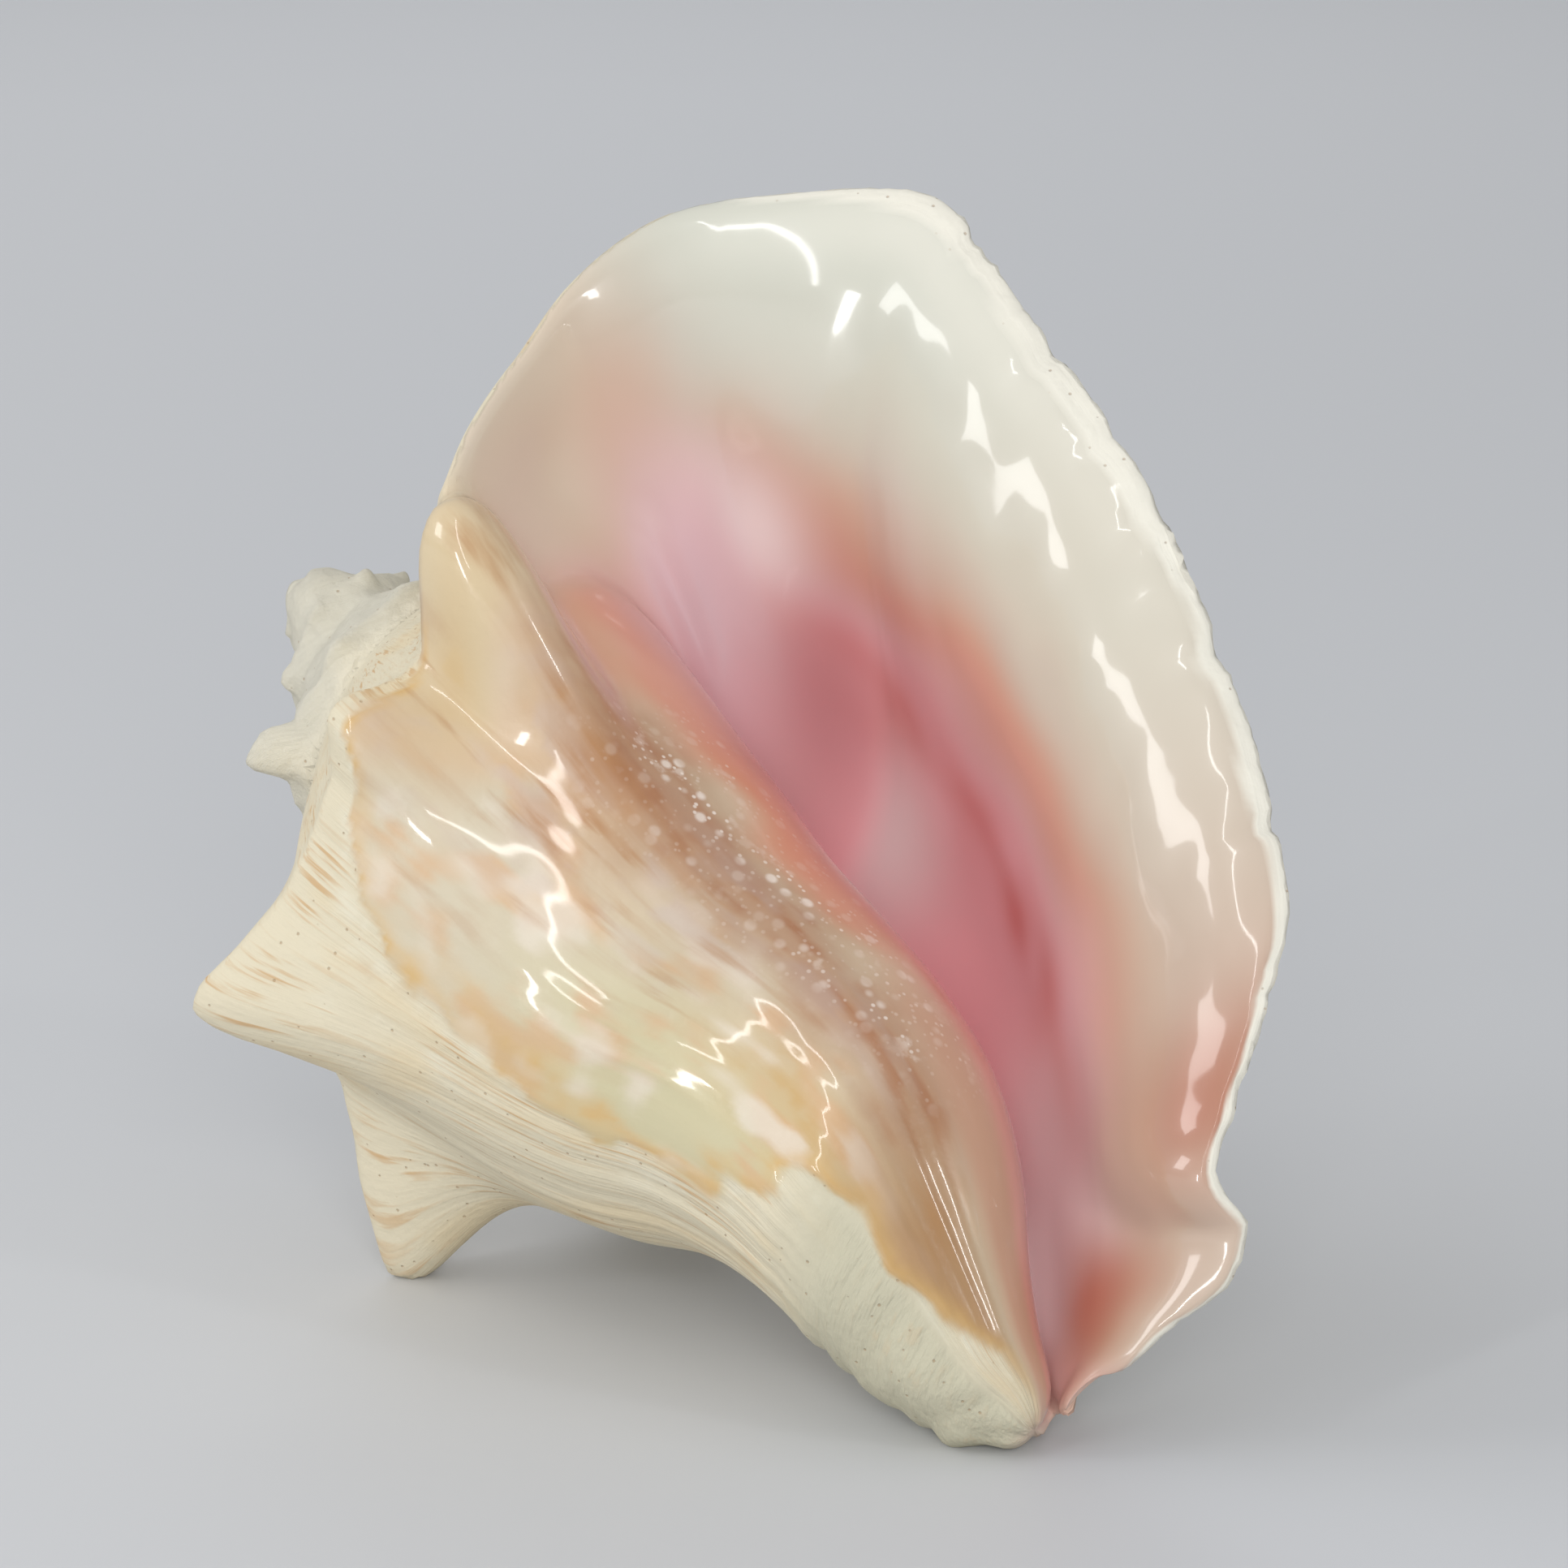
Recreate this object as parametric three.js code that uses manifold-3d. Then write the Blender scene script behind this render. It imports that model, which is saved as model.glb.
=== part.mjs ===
// A conch shell, grown as one piece. It stands on the tip of its canal and on two shoulder spines,
// with its flared lip raised and its open side turned to the front (-Y).
//
// The shell is described in its own axes and then stood up: a runs from the coiling axis toward the
// outer lip, b toward the open (belly) side, w along the axis from the canal tip to the apex.
// Angles turn from the lip (0) over the belly side (90) and the far shoulder (180) to the back (270),
// which is the way the shell grew. Millimetres and degrees, +Z up.

import * as THREE from 'three';
import { mergeVertices } from 'three/addons/utils/BufferGeometryUtils.js';
import Module from 'manifold-3d';

// Growth of the shoulder crest, measured where it crosses CREST_ANGLE on the last whorl
const GROWTH_PER_TURN = 1.765;
const CREST_ANGLE = 180;
const CREST_RADIUS = 51.7;
const CREST_DROP = 94.7;
const APEX_LEVEL = 235.5;

// The last whorl, from the canal (level 0) over the crest (1) to the seam with the whorl before (2):
// [level, radius as a share of the crest radius, shift toward the lip, shift toward the belly]
const WHORL_PROFILE = [
  [0, 0.04, -10, -8],
  [0.03, 0.13, -8.5, -7],
  [0.07, 0.23, -8, -5.5],
  [0.12, 0.32, -5.5, -4],
  [0.2, 0.455, -1, -2],
  [0.3, 0.565, 4, 0],
  [0.4, 0.615, 5.5, 0],
  [0.5, 0.67, 4.5, 0],
  [0.6, 0.765, 1.5, 0],
  [0.7, 0.85, 0.5, 0],
  [0.8, 0.905, 0, 0],
  [0.9, 0.955, 0, 0],
  [1, 1, 0, 0],
  [1.15, 0.95, 0, 0],
  [1.5, 0.8, 0, 0],
  [2, 0.54, 0, 0],
];
const SEAM_LEVEL = 2;
const RAMP_RISE = 0.3; // of the height left to the apex, from the crest to the seam
const WHORL_START = -75;
const WHORL_END = 270;
const WHORL_DIVE = 0.06; // how far the closed end sinks under the wall that covers it
const WHORL_DIVE_FROM = 257;
const WHORL_DIVE_SPAN = 10;

// The callus pad that fills the corner between the whorl before and the lip
const PAD = { from: -60, to: 60, fade: 40, thickness: 0.1, rise: 5 };

// Spines on the crest: angle, length, half width in degrees, half width in levels, lean to the apex
const SPINES = [
  { angle: 64, length: 24, width: 17, depth: 0.3, lean: 0.32 },
  { angle: 99, length: 9, width: 14, depth: 0.16, lean: 0.32 },
  { angle: 156, length: 17.5, width: 20, depth: 0.22, lean: 0.32 },
  { angle: 204, length: 26.4, width: 19, depth: 0.22, lean: -0.66 },
  { angle: 252, length: 33.2, width: 19, depth: 0.22, lean: -0.2 },
];
const SPINE_TAPER = 0.62;
const SPINE_POWER = 1.7;
const RAMP_SIDE_STRETCH = 1.5; // a spine reaches further up the ramp than down the side

// Edge of the outer lip, from the canal round to the seam: [a, b, w, level of the whorl it grew from]
const LIP_EDGE = [
  [-6, -10, 1, 0],
  [-3, -8, 3, 0.03],
  [6, -8, 5, 0.07],
  [9, -6, -4, 0.12],
  [18, -5, -4, 0.18],
  [31, -1, -7, 0.25],
  [38, 2, -4, 0.3],
  [40, 8, 3, 0.36],
  [48, 10, 7, 0.42],
  [65, 14, 15, 0.5],
  [76, 18, 21, 0.56],
  [88, 22, 38, 0.64],
  [99, 24, 61, 0.72],
  [113, 26, 100, 0.86],
  [119, 28, 134, 0.97],
  [123, 29, 157, 1.08],
  [119, 30, 166, 1.16],
  [105, 32, 180, 1.28],
  [90, 35, 190, 1.42],
  [72, 40, 191, 1.56],
  [55, 45, 186, 1.72],
  [41, 52, 178, 1.87],
  [30, 58, 169, 2],
];

// How the wall swings out into the lip:
// [level, angle of the lip at its edge, pull along the whorl, pull along the lip], pulls per span
const LIP_FLARE = [
  [0, 0, 0.6, 0.6],
  [0.2, 0, 0.9, 0.9],
  [0.36, 0, 1.1, 1.1],
  [0.5, 6, 1.25, 1.3],
  [0.72, 10, 1.4, 1.4],
  [0.97, 12, 1.45, 1.4],
  [1.16, 16, 1.35, 1.3],
  [1.42, 30, 1.1, 1.1],
  [1.72, 55, 0.8, 0.8],
  [2, 95, 0.6, 0.6],
];
const LIP_SLOPE = 0.9;
const LIP_START = 285; // where the wall leaves the whorl's spiral
const SMALL_TURN = 0.5; // gives the direction of the spiral there
const LIP_OVERLAP = 30; // degrees of wall that lie on the whorl before that
const LIP_STAND_OFF = 0.3;
const WALL_AT_WHORL = 6;
const WALL_AT_EDGE = 3;
const WALL_AT_CANAL = 0.35; // share of that thickness left at the canal
const CANAL_LEVEL = 0.25; // up to here the wall thickens
const WALL_PROBE = 0.01; // step in along and in level that finds which way the wall faces
const LAST_KNOB = { along: 0.14, level: 1.02, length: 15, width: 0.1, depth: 0.2 };

// The spire: each whorl climbs by a ramp from its crest to the seam, then by a short upright step
const SPIRE_FROM = 0.45; // turns back from the crest angle
const SPIRE_TO = 3.1;
const SQUAT_FROM = 160; // above this level the worn spire is lower than its growth would make it
const SQUAT = 0.22; // share of its height that it lacks there
const SEAM_AT = 0.8; // share of a turn
const SEAM_RADIUS = 0.585;
const SEAM_DROP = 0.7;
const SPIRE_SINK = 2; // under the last whorl, where that covers it
const COVERED_FROM = 0.27;
const COVERED_FADE = 0.05;
const KNOB = { first: 142, spacing: 46, height: 0.16, reach: 0.1 };

// Stance on the floor: rise and heading of the axis, and the roll that lifts the lip
const AXIS_RISE = 26.02;
const AXIS_HEADING = 132.3;
const LIP_ROLL = 49.14;
const FOOT_DEPTH = 1.3; // worn off the three tips, which leaves a flat on each
const FLOOR_SIZE = 600;

// Fineness of the faceted solid
const WHORL_STEPS = 54;
const WHORL_LEVELS = [
  0, 0.03, 0.07, 0.12, 0.18, 0.25, 0.33, 0.42, 0.51, 0.6, 0.69, 0.77, 0.84, 0.9, 0.95,
  1, 1.05, 1.11, 1.19, 1.3, 1.45, 1.65, 2,
];
const LIP_STEPS = 12;
const LIP_OVERLAP_STEPS = 2;
const SPIRE_STEPS = 32;
const SPIRE_RINGS = 22;

// Right-handed axes: X toward the lip, Y toward the back, Z toward the apex
const place = (lip, belly, apex) => new THREE.Vector3(lip, -belly, apex);
const column = (table, index) => table.map((row) => row[index]);
const radians = THREE.MathUtils.degToRad;
const ease = (x) => THREE.MathUtils.smoothstep(x, 0, 1);

// Smooth curve through stations: xs rising, ys the values there
function through(x, xs, ys) {
  const last = xs.length - 1;
  const at = Math.min(Math.max(x, xs[0]), xs[last]);
  const slope = (i) => (ys[i + 1] - ys[i]) / (xs[i + 1] - xs[i]);
  const tangent = (i) => {
    if (i === 0) return slope(0);
    if (i === last) return slope(last - 1);
    const before = xs[i] - xs[i - 1];
    const after = xs[i + 1] - xs[i];
    return (slope(i - 1) * after + slope(i) * before) / (before + after);
  };
  let i = 0;
  while (i < last - 1 && at >= xs[i + 1]) i += 1;
  const span = xs[i + 1] - xs[i];
  const f = (at - xs[i]) / span;
  return (2 * f ** 3 - 3 * f ** 2 + 1) * ys[i] + (f ** 3 - 2 * f ** 2 + f) * span * tangent(i)
    + (3 * f ** 2 - 2 * f ** 3) * ys[i + 1] + (f ** 3 - f ** 2) * span * tangent(i + 1);
}

// Reads every column of a table, past its level, at one level
function reader(table, levelColumn) {
  const levels = column(table, levelColumn);
  const width = table[0].length;
  const others = [...Array(width).keys()].filter((i) => i !== levelColumn);
  const columns = others.map((i) => column(table, i));
  return (level) => columns.map((values) => through(level, levels, values));
}

const profileAt = reader(WHORL_PROFILE, 0);
const lipEdgeAt = reader(LIP_EDGE, 3);
const lipFlareAt = reader(LIP_FLARE, 0);

function crest(angle) {
  const grown = GROWTH_PER_TURN ** ((angle - CREST_ANGLE) / 360);
  return { radius: CREST_RADIUS * grown, level: APEX_LEVEL - CREST_DROP * grown };
}

function spineHeights(angle, level) {
  let out = 0;
  let up = 0;
  for (const spine of SPINES) {
    const across = (angle - spine.angle) / spine.width;
    const below = (level - 1) / spine.depth;
    const along = below > 0 ? below / RAMP_SIDE_STRETCH : below;
    const height = spine.length * Math.exp(-((Math.hypot(across, along) / SPINE_TAPER) ** SPINE_POWER));
    out += height;
    up += height * spine.lean;
  }
  return { out, up };
}

// Outer surface of the last whorl
function whorl(angle, level, withSpines = true) {
  const { radius, level: crestLevel } = crest(angle);
  const [share, toLip, toBelly] = profileAt(level);
  const ramp = Math.max(level - 1, 0);
  const pad = ease((PAD.to - angle) / PAD.fade) * ease((angle - PAD.from) / PAD.fade);
  let r = radius * (share + pad * PAD.thickness * Math.sin(Math.PI * ramp));
  let w = Math.min(level, 1) * crestLevel;
  w += ramp * ((APEX_LEVEL - crestLevel) * RAMP_RISE + pad * PAD.rise);
  if (withSpines) {
    const spine = spineHeights(angle, level);
    r += spine.out;
    w += spine.up;
  }
  const turn = radians(angle);
  return place(r * Math.cos(turn) + toLip, r * Math.sin(turn) + toBelly, w);
}

// Wall of the last growth stage: along < 0 lies on the whorl, 0 to 1 swings out to the lip edge
function wall(along, level, withSpines) {
  if (along < 0) return whorl(LIP_START + along * LIP_OVERLAP, level, withSpines);
  const start = whorl(LIP_START, level, false);
  const end = place(...lipEdgeAt(level));
  const [flare, pullStart, pullEnd] = lipFlareAt(level);
  const span = Math.hypot(end.x - start.x, end.y - start.y);
  const leaving = whorl(LIP_START + SMALL_TURN, level, false).sub(start).setLength(span * pullStart);
  const turn = radians(flare);
  const arriving = place(Math.cos(turn), Math.sin(turn), 0).multiplyScalar(span * pullEnd);
  arriving.z = (end.z - start.z) * LIP_SLOPE;
  const f = along;
  return start.multiplyScalar(2 * f ** 3 - 3 * f ** 2 + 1)
    .addScaledVector(leaving, f ** 3 - 2 * f ** 2 + f)
    .addScaledVector(end, 3 * f ** 2 - 2 * f ** 3)
    .addScaledVector(arriving, f ** 3 - f ** 2);
}

// Unit direction from the wall into the shell's open space
function wallInward(along, level) {
  const lo = Math.max(level - WALL_PROBE, 0);
  const hi = Math.min(level + WALL_PROBE, SEAM_LEVEL);
  const ahead = Math.min(along + WALL_PROBE, 1);
  const alongWall = wall(ahead, level, false).sub(wall(along - WALL_PROBE, level, false));
  const acrossWall = wall(along, hi, false).sub(wall(along, lo, false));
  return alongWall.cross(acrossWall).normalize();
}

function lastKnob(along, level) {
  const x = (along - LAST_KNOB.along) / LAST_KNOB.width;
  const y = (level - LAST_KNOB.level) / LAST_KNOB.depth;
  return LAST_KNOB.length * Math.exp(-((Math.hypot(x, y) / SPINE_TAPER) ** SPINE_POWER));
}

// Closed solid from a stack of rings with equal point counts, each end closed by its own triangles
function stackSolid(rings, closeEnd) {
  const count = rings[0].length;
  const points = rings.flat();
  const triangles = [];
  for (let row = 0; row < rings.length - 1; row += 1) {
    for (let i = 0; i < count; i += 1) {
      const a = row * count + i;
      const b = row * count + (i + 1) % count;
      triangles.push([a, b + count, b], [a, a + count, b + count]);
    }
  }
  triangles.push(...closeEnd(points, 0, count));
  triangles.push(...closeEnd(points, (rings.length - 1) * count, count).map(([a, b, c]) => [a, c, b]));
  return { points, triangles };
}

// End closed by a fan about the ring's middle
function fanEnd(points, first, count) {
  const middle = new THREE.Vector3();
  for (let i = 0; i < count; i += 1) middle.addScaledVector(points[first + i], 1 / count);
  points.push(middle);
  const centre = points.length - 1;
  return [...Array(count).keys()].map((i) => [first + i, first + (i + 1) % count, centre]);
}

// End closed across a flat loop that runs out along one side and back along the other
function ladderEnd(points, first, count) {
  const rungs = [];
  for (let i = 0; i < count / 2 - 1; i += 1) {
    const near = first + i;
    const far = first + count - 1 - i;
    rungs.push([near, near + 1, far - 1], [near, far - 1, far]);
  }
  return rungs;
}

function whorlSolid() {
  const step = (WHORL_END - WHORL_START) / WHORL_STEPS;
  const angles = [...Array(WHORL_STEPS + 1).keys()].map((i) => {
    const angle = WHORL_START + step * i;
    const near = SPINES.find((spine) => Math.abs(spine.angle - angle) < step / 2);
    return near ? near.angle : angle;
  });
  const ring = (level) => angles.map((angle) => {
    const point = whorl(angle, level);
    const dive = 1 - WHORL_DIVE * ease((angle - WHORL_DIVE_FROM) / WHORL_DIVE_SPAN);
    return point.set(point.x * dive, point.y * dive, point.z);
  });
  return stackSolid(WHORL_LEVELS.map(ring), fanEnd);
}

function lipSolid() {
  const overlap = [...Array(LIP_OVERLAP_STEPS).keys()].map((i) => i / LIP_OVERLAP_STEPS - 1);
  const swing = [...Array(LIP_STEPS + 1).keys()].map((i) => i / LIP_STEPS);
  const alongs = [...overlap, ...swing];
  const edgeLevels = column(LIP_EDGE, 3);
  const between = edgeLevels.slice(1).map((level, i) => (level + edgeLevels[i]) / 2);
  const levels = [...edgeLevels, ...between].sort((x, y) => x - y);
  const ring = (level) => {
    const outside = alongs.map((along) => wall(along, level, true)
      .addScaledVector(wallInward(along, level), -LIP_STAND_OFF - lastKnob(along, level)));
    const share = WALL_AT_CANAL + (1 - WALL_AT_CANAL) * ease(level / CANAL_LEVEL);
    const inside = alongs.map((along) => {
      const thickness = share * (WALL_AT_WHORL + (WALL_AT_EDGE - WALL_AT_WHORL) * ease(along));
      return wall(along, level, false).addScaledVector(wallInward(along, level), thickness);
    });
    return [...outside, ...inside.reverse()];
  };
  return stackSolid(levels.map(ring), ladderEnd);
}

function spirePoint(angle, turnsBack) {
  const turn = (angle - CREST_ANGLE) / 360;
  const whorlNumber = Math.floor(turnsBack + turn);
  const climb = turnsBack + turn - whorlNumber;
  const grown = GROWTH_PER_TURN ** (turn - whorlNumber);
  const nextCrest = 1 / GROWTH_PER_TURN;
  const onRamp = climb < SEAM_AT;
  const part = onRamp ? climb / SEAM_AT : (climb - SEAM_AT) / (1 - SEAM_AT);
  const mix = THREE.MathUtils.lerp;
  const radius = onRamp ? mix(1, SEAM_RADIUS, part) : mix(SEAM_RADIUS, nextCrest, part);
  const drop = onRamp ? mix(1, SEAM_DROP, part) : mix(SEAM_DROP, nextCrest, part);
  const fromCrest = Math.min(climb, 1 - climb) / KNOB.reach;
  const knobTurn = Math.max(0, Math.cos(2 * Math.PI * (angle - KNOB.first) / KNOB.spacing));
  const knob = KNOB.height * Math.exp(-(fromCrest ** 2)) * knobTurn ** 2;
  const coveredHere = [1, ease((turn - COVERED_FROM) / COVERED_FADE), 0];
  const covered = coveredHere[Math.min(Math.max(whorlNumber, 0), 2)];
  const r = CREST_RADIUS * grown * radius * (1 + knob) - SPIRE_SINK * covered;
  const grownLevel = APEX_LEVEL - CREST_DROP * grown * drop;
  const w = grownLevel - SQUAT * Math.max(grownLevel - SQUAT_FROM, 0);
  return place(r * Math.cos(radians(angle)), r * Math.sin(radians(angle)), w);
}

function spireSolid() {
  const rings = [...Array(SPIRE_RINGS).keys()].map((row) => {
    const turnsBack = SPIRE_FROM + (SPIRE_TO - SPIRE_FROM) * row / (SPIRE_RINGS - 1);
    return [...Array(SPIRE_STEPS).keys()].map((i) => spirePoint(360 * i / SPIRE_STEPS, turnsBack));
  });
  return stackSolid(rings, fanEnd);
}

// Turns the shell's own axes to its stance
function stance() {
  const rise = radians(AXIS_RISE);
  const heading = radians(AXIS_HEADING);
  const axis = new THREE.Vector3(
    Math.cos(rise) * Math.cos(heading), Math.cos(rise) * Math.sin(heading), Math.sin(rise));
  const level = new THREE.Vector3(Math.sin(heading), -Math.cos(heading), 0);
  const upright = new THREE.Vector3().crossVectors(level, axis);
  const roll = radians(LIP_ROLL);
  const toLip = level.clone().multiplyScalar(Math.cos(roll)).addScaledVector(upright, Math.sin(roll));
  const toBack = new THREE.Vector3().crossVectors(axis, toLip);
  return new THREE.Matrix4().makeBasis(toLip, toBack, axis);
}

const wasm = await Module();
wasm.setup();

function toManifold({ points, triangles }) {
  const vertProperties = new Float32Array(points.flatMap((p) => [p.x, p.y, p.z]));
  const triVerts = new Uint32Array(triangles.flat());
  return new wasm.Manifold(new wasm.Mesh({ numProp: 3, vertProperties, triVerts }));
}

function toGeometry(manifold) {
  const mesh = manifold.getMesh();
  const geometry = new THREE.BufferGeometry();
  geometry.setAttribute('position', new THREE.BufferAttribute(mesh.vertProperties, mesh.numProp));
  geometry.setIndex(new THREE.BufferAttribute(mesh.triVerts, 1));
  return geometry;
}

// Box under the shell whose top face wears the three tips flat
function floorBlock(height) {
  const block = new THREE.BoxGeometry(FLOOR_SIZE, FLOOR_SIZE, FLOOR_SIZE);
  block.translate(0, 0, height - FLOOR_SIZE / 2);
  block.deleteAttribute('normal');
  block.deleteAttribute('uv');
  const merged = mergeVertices(block);
  const corner = merged.getAttribute('position');
  const points = [...Array(corner.count).keys()]
    .map((i) => new THREE.Vector3().fromBufferAttribute(corner, i));
  const index = merged.getIndex().array;
  const triangles = [];
  for (let i = 0; i < index.length; i += 3) triangles.push([index[i], index[i + 1], index[i + 2]]);
  return { points, triangles };
}

const standing = stance();
const [whorlPart, lipPart, spirePart] = [whorlSolid(), lipSolid(), spireSolid()].map((solid) => {
  solid.points.forEach((point) => point.applyMatrix4(standing));
  return solid;
});
const lowest = Math.min(...whorlPart.points.map((point) => point.z));
const floor = toManifold(floorBlock(lowest + FOOT_DEPTH));
const whole = toManifold(whorlPart).add(toManifold(lipPart)).add(toManifold(spirePart)).subtract(floor);

// The origin is on the floor, under the middle of the shell
const geometry = toGeometry(whole);
geometry.computeBoundingBox();
const { min, max } = geometry.boundingBox;
geometry.translate(-(min.x + max.x) / 2, -(min.y + max.y) / 2, -min.z);

const shell = new THREE.Mesh(
  geometry,
  new THREE.MeshStandardMaterial({ color: 0xead9c2, roughness: 0.35, metalness: 0 }),
);
shell.name = 'shell';

const conch = new THREE.Group();
conch.add(shell);
export default conch;
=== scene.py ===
# %% [markdown]
# A conch shell, grown as one piece: a coiled spire, a big last whorl with blunt spines, a long
# glossy pink opening and a flared lip. This lesson grows it from the same law that the animal
# follows, paints its zones, and sets it on a pale floor under soft lights.
# The CAD model gives the frame: its parts are loaded here, and its plain solid is hidden once the
# shell takes its place.

# %% Load the frame
import math
import bpy
import numpy as np
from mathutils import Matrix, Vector
from mathutils.bvhtree import BVHTree
from mathutils.kdtree import KDTree


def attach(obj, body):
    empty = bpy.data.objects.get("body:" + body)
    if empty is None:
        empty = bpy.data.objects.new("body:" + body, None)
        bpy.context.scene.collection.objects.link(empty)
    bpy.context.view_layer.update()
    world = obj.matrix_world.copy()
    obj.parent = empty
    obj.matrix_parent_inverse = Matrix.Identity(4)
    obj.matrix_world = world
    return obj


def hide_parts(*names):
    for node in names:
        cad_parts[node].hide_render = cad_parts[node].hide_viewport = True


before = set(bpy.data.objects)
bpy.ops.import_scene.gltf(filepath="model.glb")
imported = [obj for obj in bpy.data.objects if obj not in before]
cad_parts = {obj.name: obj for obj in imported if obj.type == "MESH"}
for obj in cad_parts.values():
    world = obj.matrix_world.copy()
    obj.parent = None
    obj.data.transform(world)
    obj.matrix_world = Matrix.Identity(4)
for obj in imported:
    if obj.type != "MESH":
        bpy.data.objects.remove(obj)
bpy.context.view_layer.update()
bpy.ops.object.select_all(action="DESELECT")

# %% [markdown]
# A shell has no straight edges, so everything here is made of a few smooth shapes: a soft step, a
# hill, and a curve through listed points. Bezier curves could do it too, but formulas can be
# read at any place, which a grid of thousands of points needs.

# %% Smooth shapes
def ease(x):
    x = np.clip(x, 0, 1)
    return x * x * (3 - 2 * x)


def hill(x, width):
    return np.exp(-((x / width) ** 2))


def through(x, stations, values):
    """Smooth curve through given stations, read at x."""
    xs, ys = np.array(stations, float), np.array(values, float)
    gap = np.diff(xs)
    slope = np.diff(ys) / gap
    inner = (slope[:-1] * gap[1:] + slope[1:] * gap[:-1]) / (gap[:-1] + gap[1:])
    tangent = np.concatenate([slope[:1], inner, slope[-1:]])
    at = np.clip(x, xs[0], xs[-1])
    i = np.clip(np.searchsorted(xs, at, side="right") - 1, 0, len(xs) - 2)
    f = (at - xs[i]) / gap[i]
    start = (2 * f**3 - 3 * f**2 + 1) * ys[i] + (f**3 - 2 * f**2 + f) * gap[i] * tangent[i]
    end = (3 * f**2 - 2 * f**3) * ys[i + 1] + (f**3 - f**2) * gap[i] * tangent[i + 1]
    return start + end


def read(table, level, level_column):
    """Every other column of a listed table, read at the levels given."""
    columns = list(zip(*table))
    stations = columns.pop(level_column)
    return [through(level, stations, values) for values in columns]


print("a soft step climbs", [round(float(ease(x)), 2) for x in (0, 0.25, 0.5, 0.75, 1)])

# %% [markdown]
# Every whorl is a larger copy of the one before, so one number, the growth per turn, gives the
# whole spiral. The shell has its own axes: X toward the outer lip, Y toward the back, Z along the
# coiling axis to the apex. Angles turn from the lip (0) over the open belly side (90) and the far
# shoulder (180) to the back (270), the way the shell grew. Levels climb from the canal tip (0)
# over the shoulder crest (1) to the seam with the whorl before (2). These tables are in
# millimetres, as a ruler would give them, and MM makes them metres.

# %% Growth law
MM = 0.001
GROWTH_PER_TURN = 1.765
CREST_ANGLE = 180
CREST_RADIUS = 51.7
CREST_DROP = 94.7
APEX_LEVEL = 235.5
SEAM_LEVEL = 2.0


def crest(angle):
    grown = GROWTH_PER_TURN ** ((angle - CREST_ANGLE) / 360)
    return CREST_RADIUS * grown, APEX_LEVEL - CREST_DROP * grown


for name, angle in (("one turn back", -180), ("far shoulder", 180), ("back", 270)):
    print(name, "crest radius %.1f mm, height %.1f mm" % crest(angle))

# %% [markdown]
# The last whorl is the big body of the shell. Its profile is a share of the crest radius at each
# level, and blunt spines stand on the crest. On the animal a spine is a fold of the shell's edge
# that hardened, so it is hollow-backed and ridged across. Here a spine is a hill on the profile,
# with its own length, width and lean. A thicker pad lies on the ramp where the lip comes round.

# %% Last whorl
WHORL_PROFILE = [  # level, share of the crest radius, shift toward the lip, shift toward the belly
    (0, 0.04, -10, -8),
    (0.03, 0.13, -8.5, -7),
    (0.07, 0.23, -8, -5.5),
    (0.12, 0.32, -5.5, -4),
    (0.2, 0.455, -1, -2),
    (0.3, 0.565, 4, 0),
    (0.4, 0.615, 5.5, 0),
    (0.5, 0.67, 4.5, 0),
    (0.6, 0.765, 1.5, 0),
    (0.7, 0.85, 0.5, 0),
    (0.8, 0.905, 0, 0),
    (0.9, 0.955, 0, 0),
    (1, 1, 0, 0),
    (1.15, 0.95, 0, 0),
    (1.5, 0.8, 0, 0),
    (2, 0.54, 0, 0),
]
RAMP_RISE = 0.3
PAD_FROM, PAD_TO, PAD_FADE = -60, 60, 40
PAD_THICKNESS, PAD_RISE = 0.1, 5
SPINES = [  # angle, length, half width in degrees and in levels, lean to the apex, bluntness
    (64, 26, 17, 0.3, 0.32, 2.4),
    (99, 9, 14, 0.16, 0.32, 1.7),
    (156, 17.5, 20, 0.22, 0.32, 1.7),
    (204, 26.4, 19, 0.22, -0.66, 1.7),
    (252, 33.2, 19, 0.22, -0.2, 1.7),
]
SPINE_TAPER = 0.62
RAMP_SIDE_STRETCH = 1.5


def spine_hills(angle, level):
    out, up = np.zeros_like(angle), np.zeros_like(angle)
    for spine_angle, length, width, depth, lean, bluntness in SPINES:
        across = (angle - spine_angle) / width
        along = (level - 1) / depth
        along = np.where(along > 0, along / RAMP_SIDE_STRETCH, along)
        height = length * np.exp(-((np.hypot(across, along) / SPINE_TAPER) ** bluntness))
        out += height
        up += height * lean
    return out, up


def whorl(angle, level, spines=True):
    angle, level = np.broadcast_arrays(np.asarray(angle, float), np.asarray(level, float))
    radius, crest_level = crest(angle)
    share, to_lip, to_belly = read(WHORL_PROFILE, level, 0)
    ramp = np.maximum(level - 1, 0)
    pad = ease((PAD_TO - angle) / PAD_FADE) * ease((angle - PAD_FROM) / PAD_FADE)
    r = radius * (share + pad * PAD_THICKNESS * np.sin(np.pi * ramp))
    w = np.minimum(level, 1) * crest_level
    w = w + ramp * ((APEX_LEVEL - crest_level) * RAMP_RISE + pad * PAD_RISE)
    if spines:
        out, up = spine_hills(angle, level)
        r, w = r + out, w + up
    turn = np.radians(angle)
    return np.stack([r * np.cos(turn) + to_lip, -r * np.sin(turn) - to_belly, w], -1)


print("tips of the spines", [np.round(whorl(s[0], 1.0)).tolist() for s in SPINES])
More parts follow.
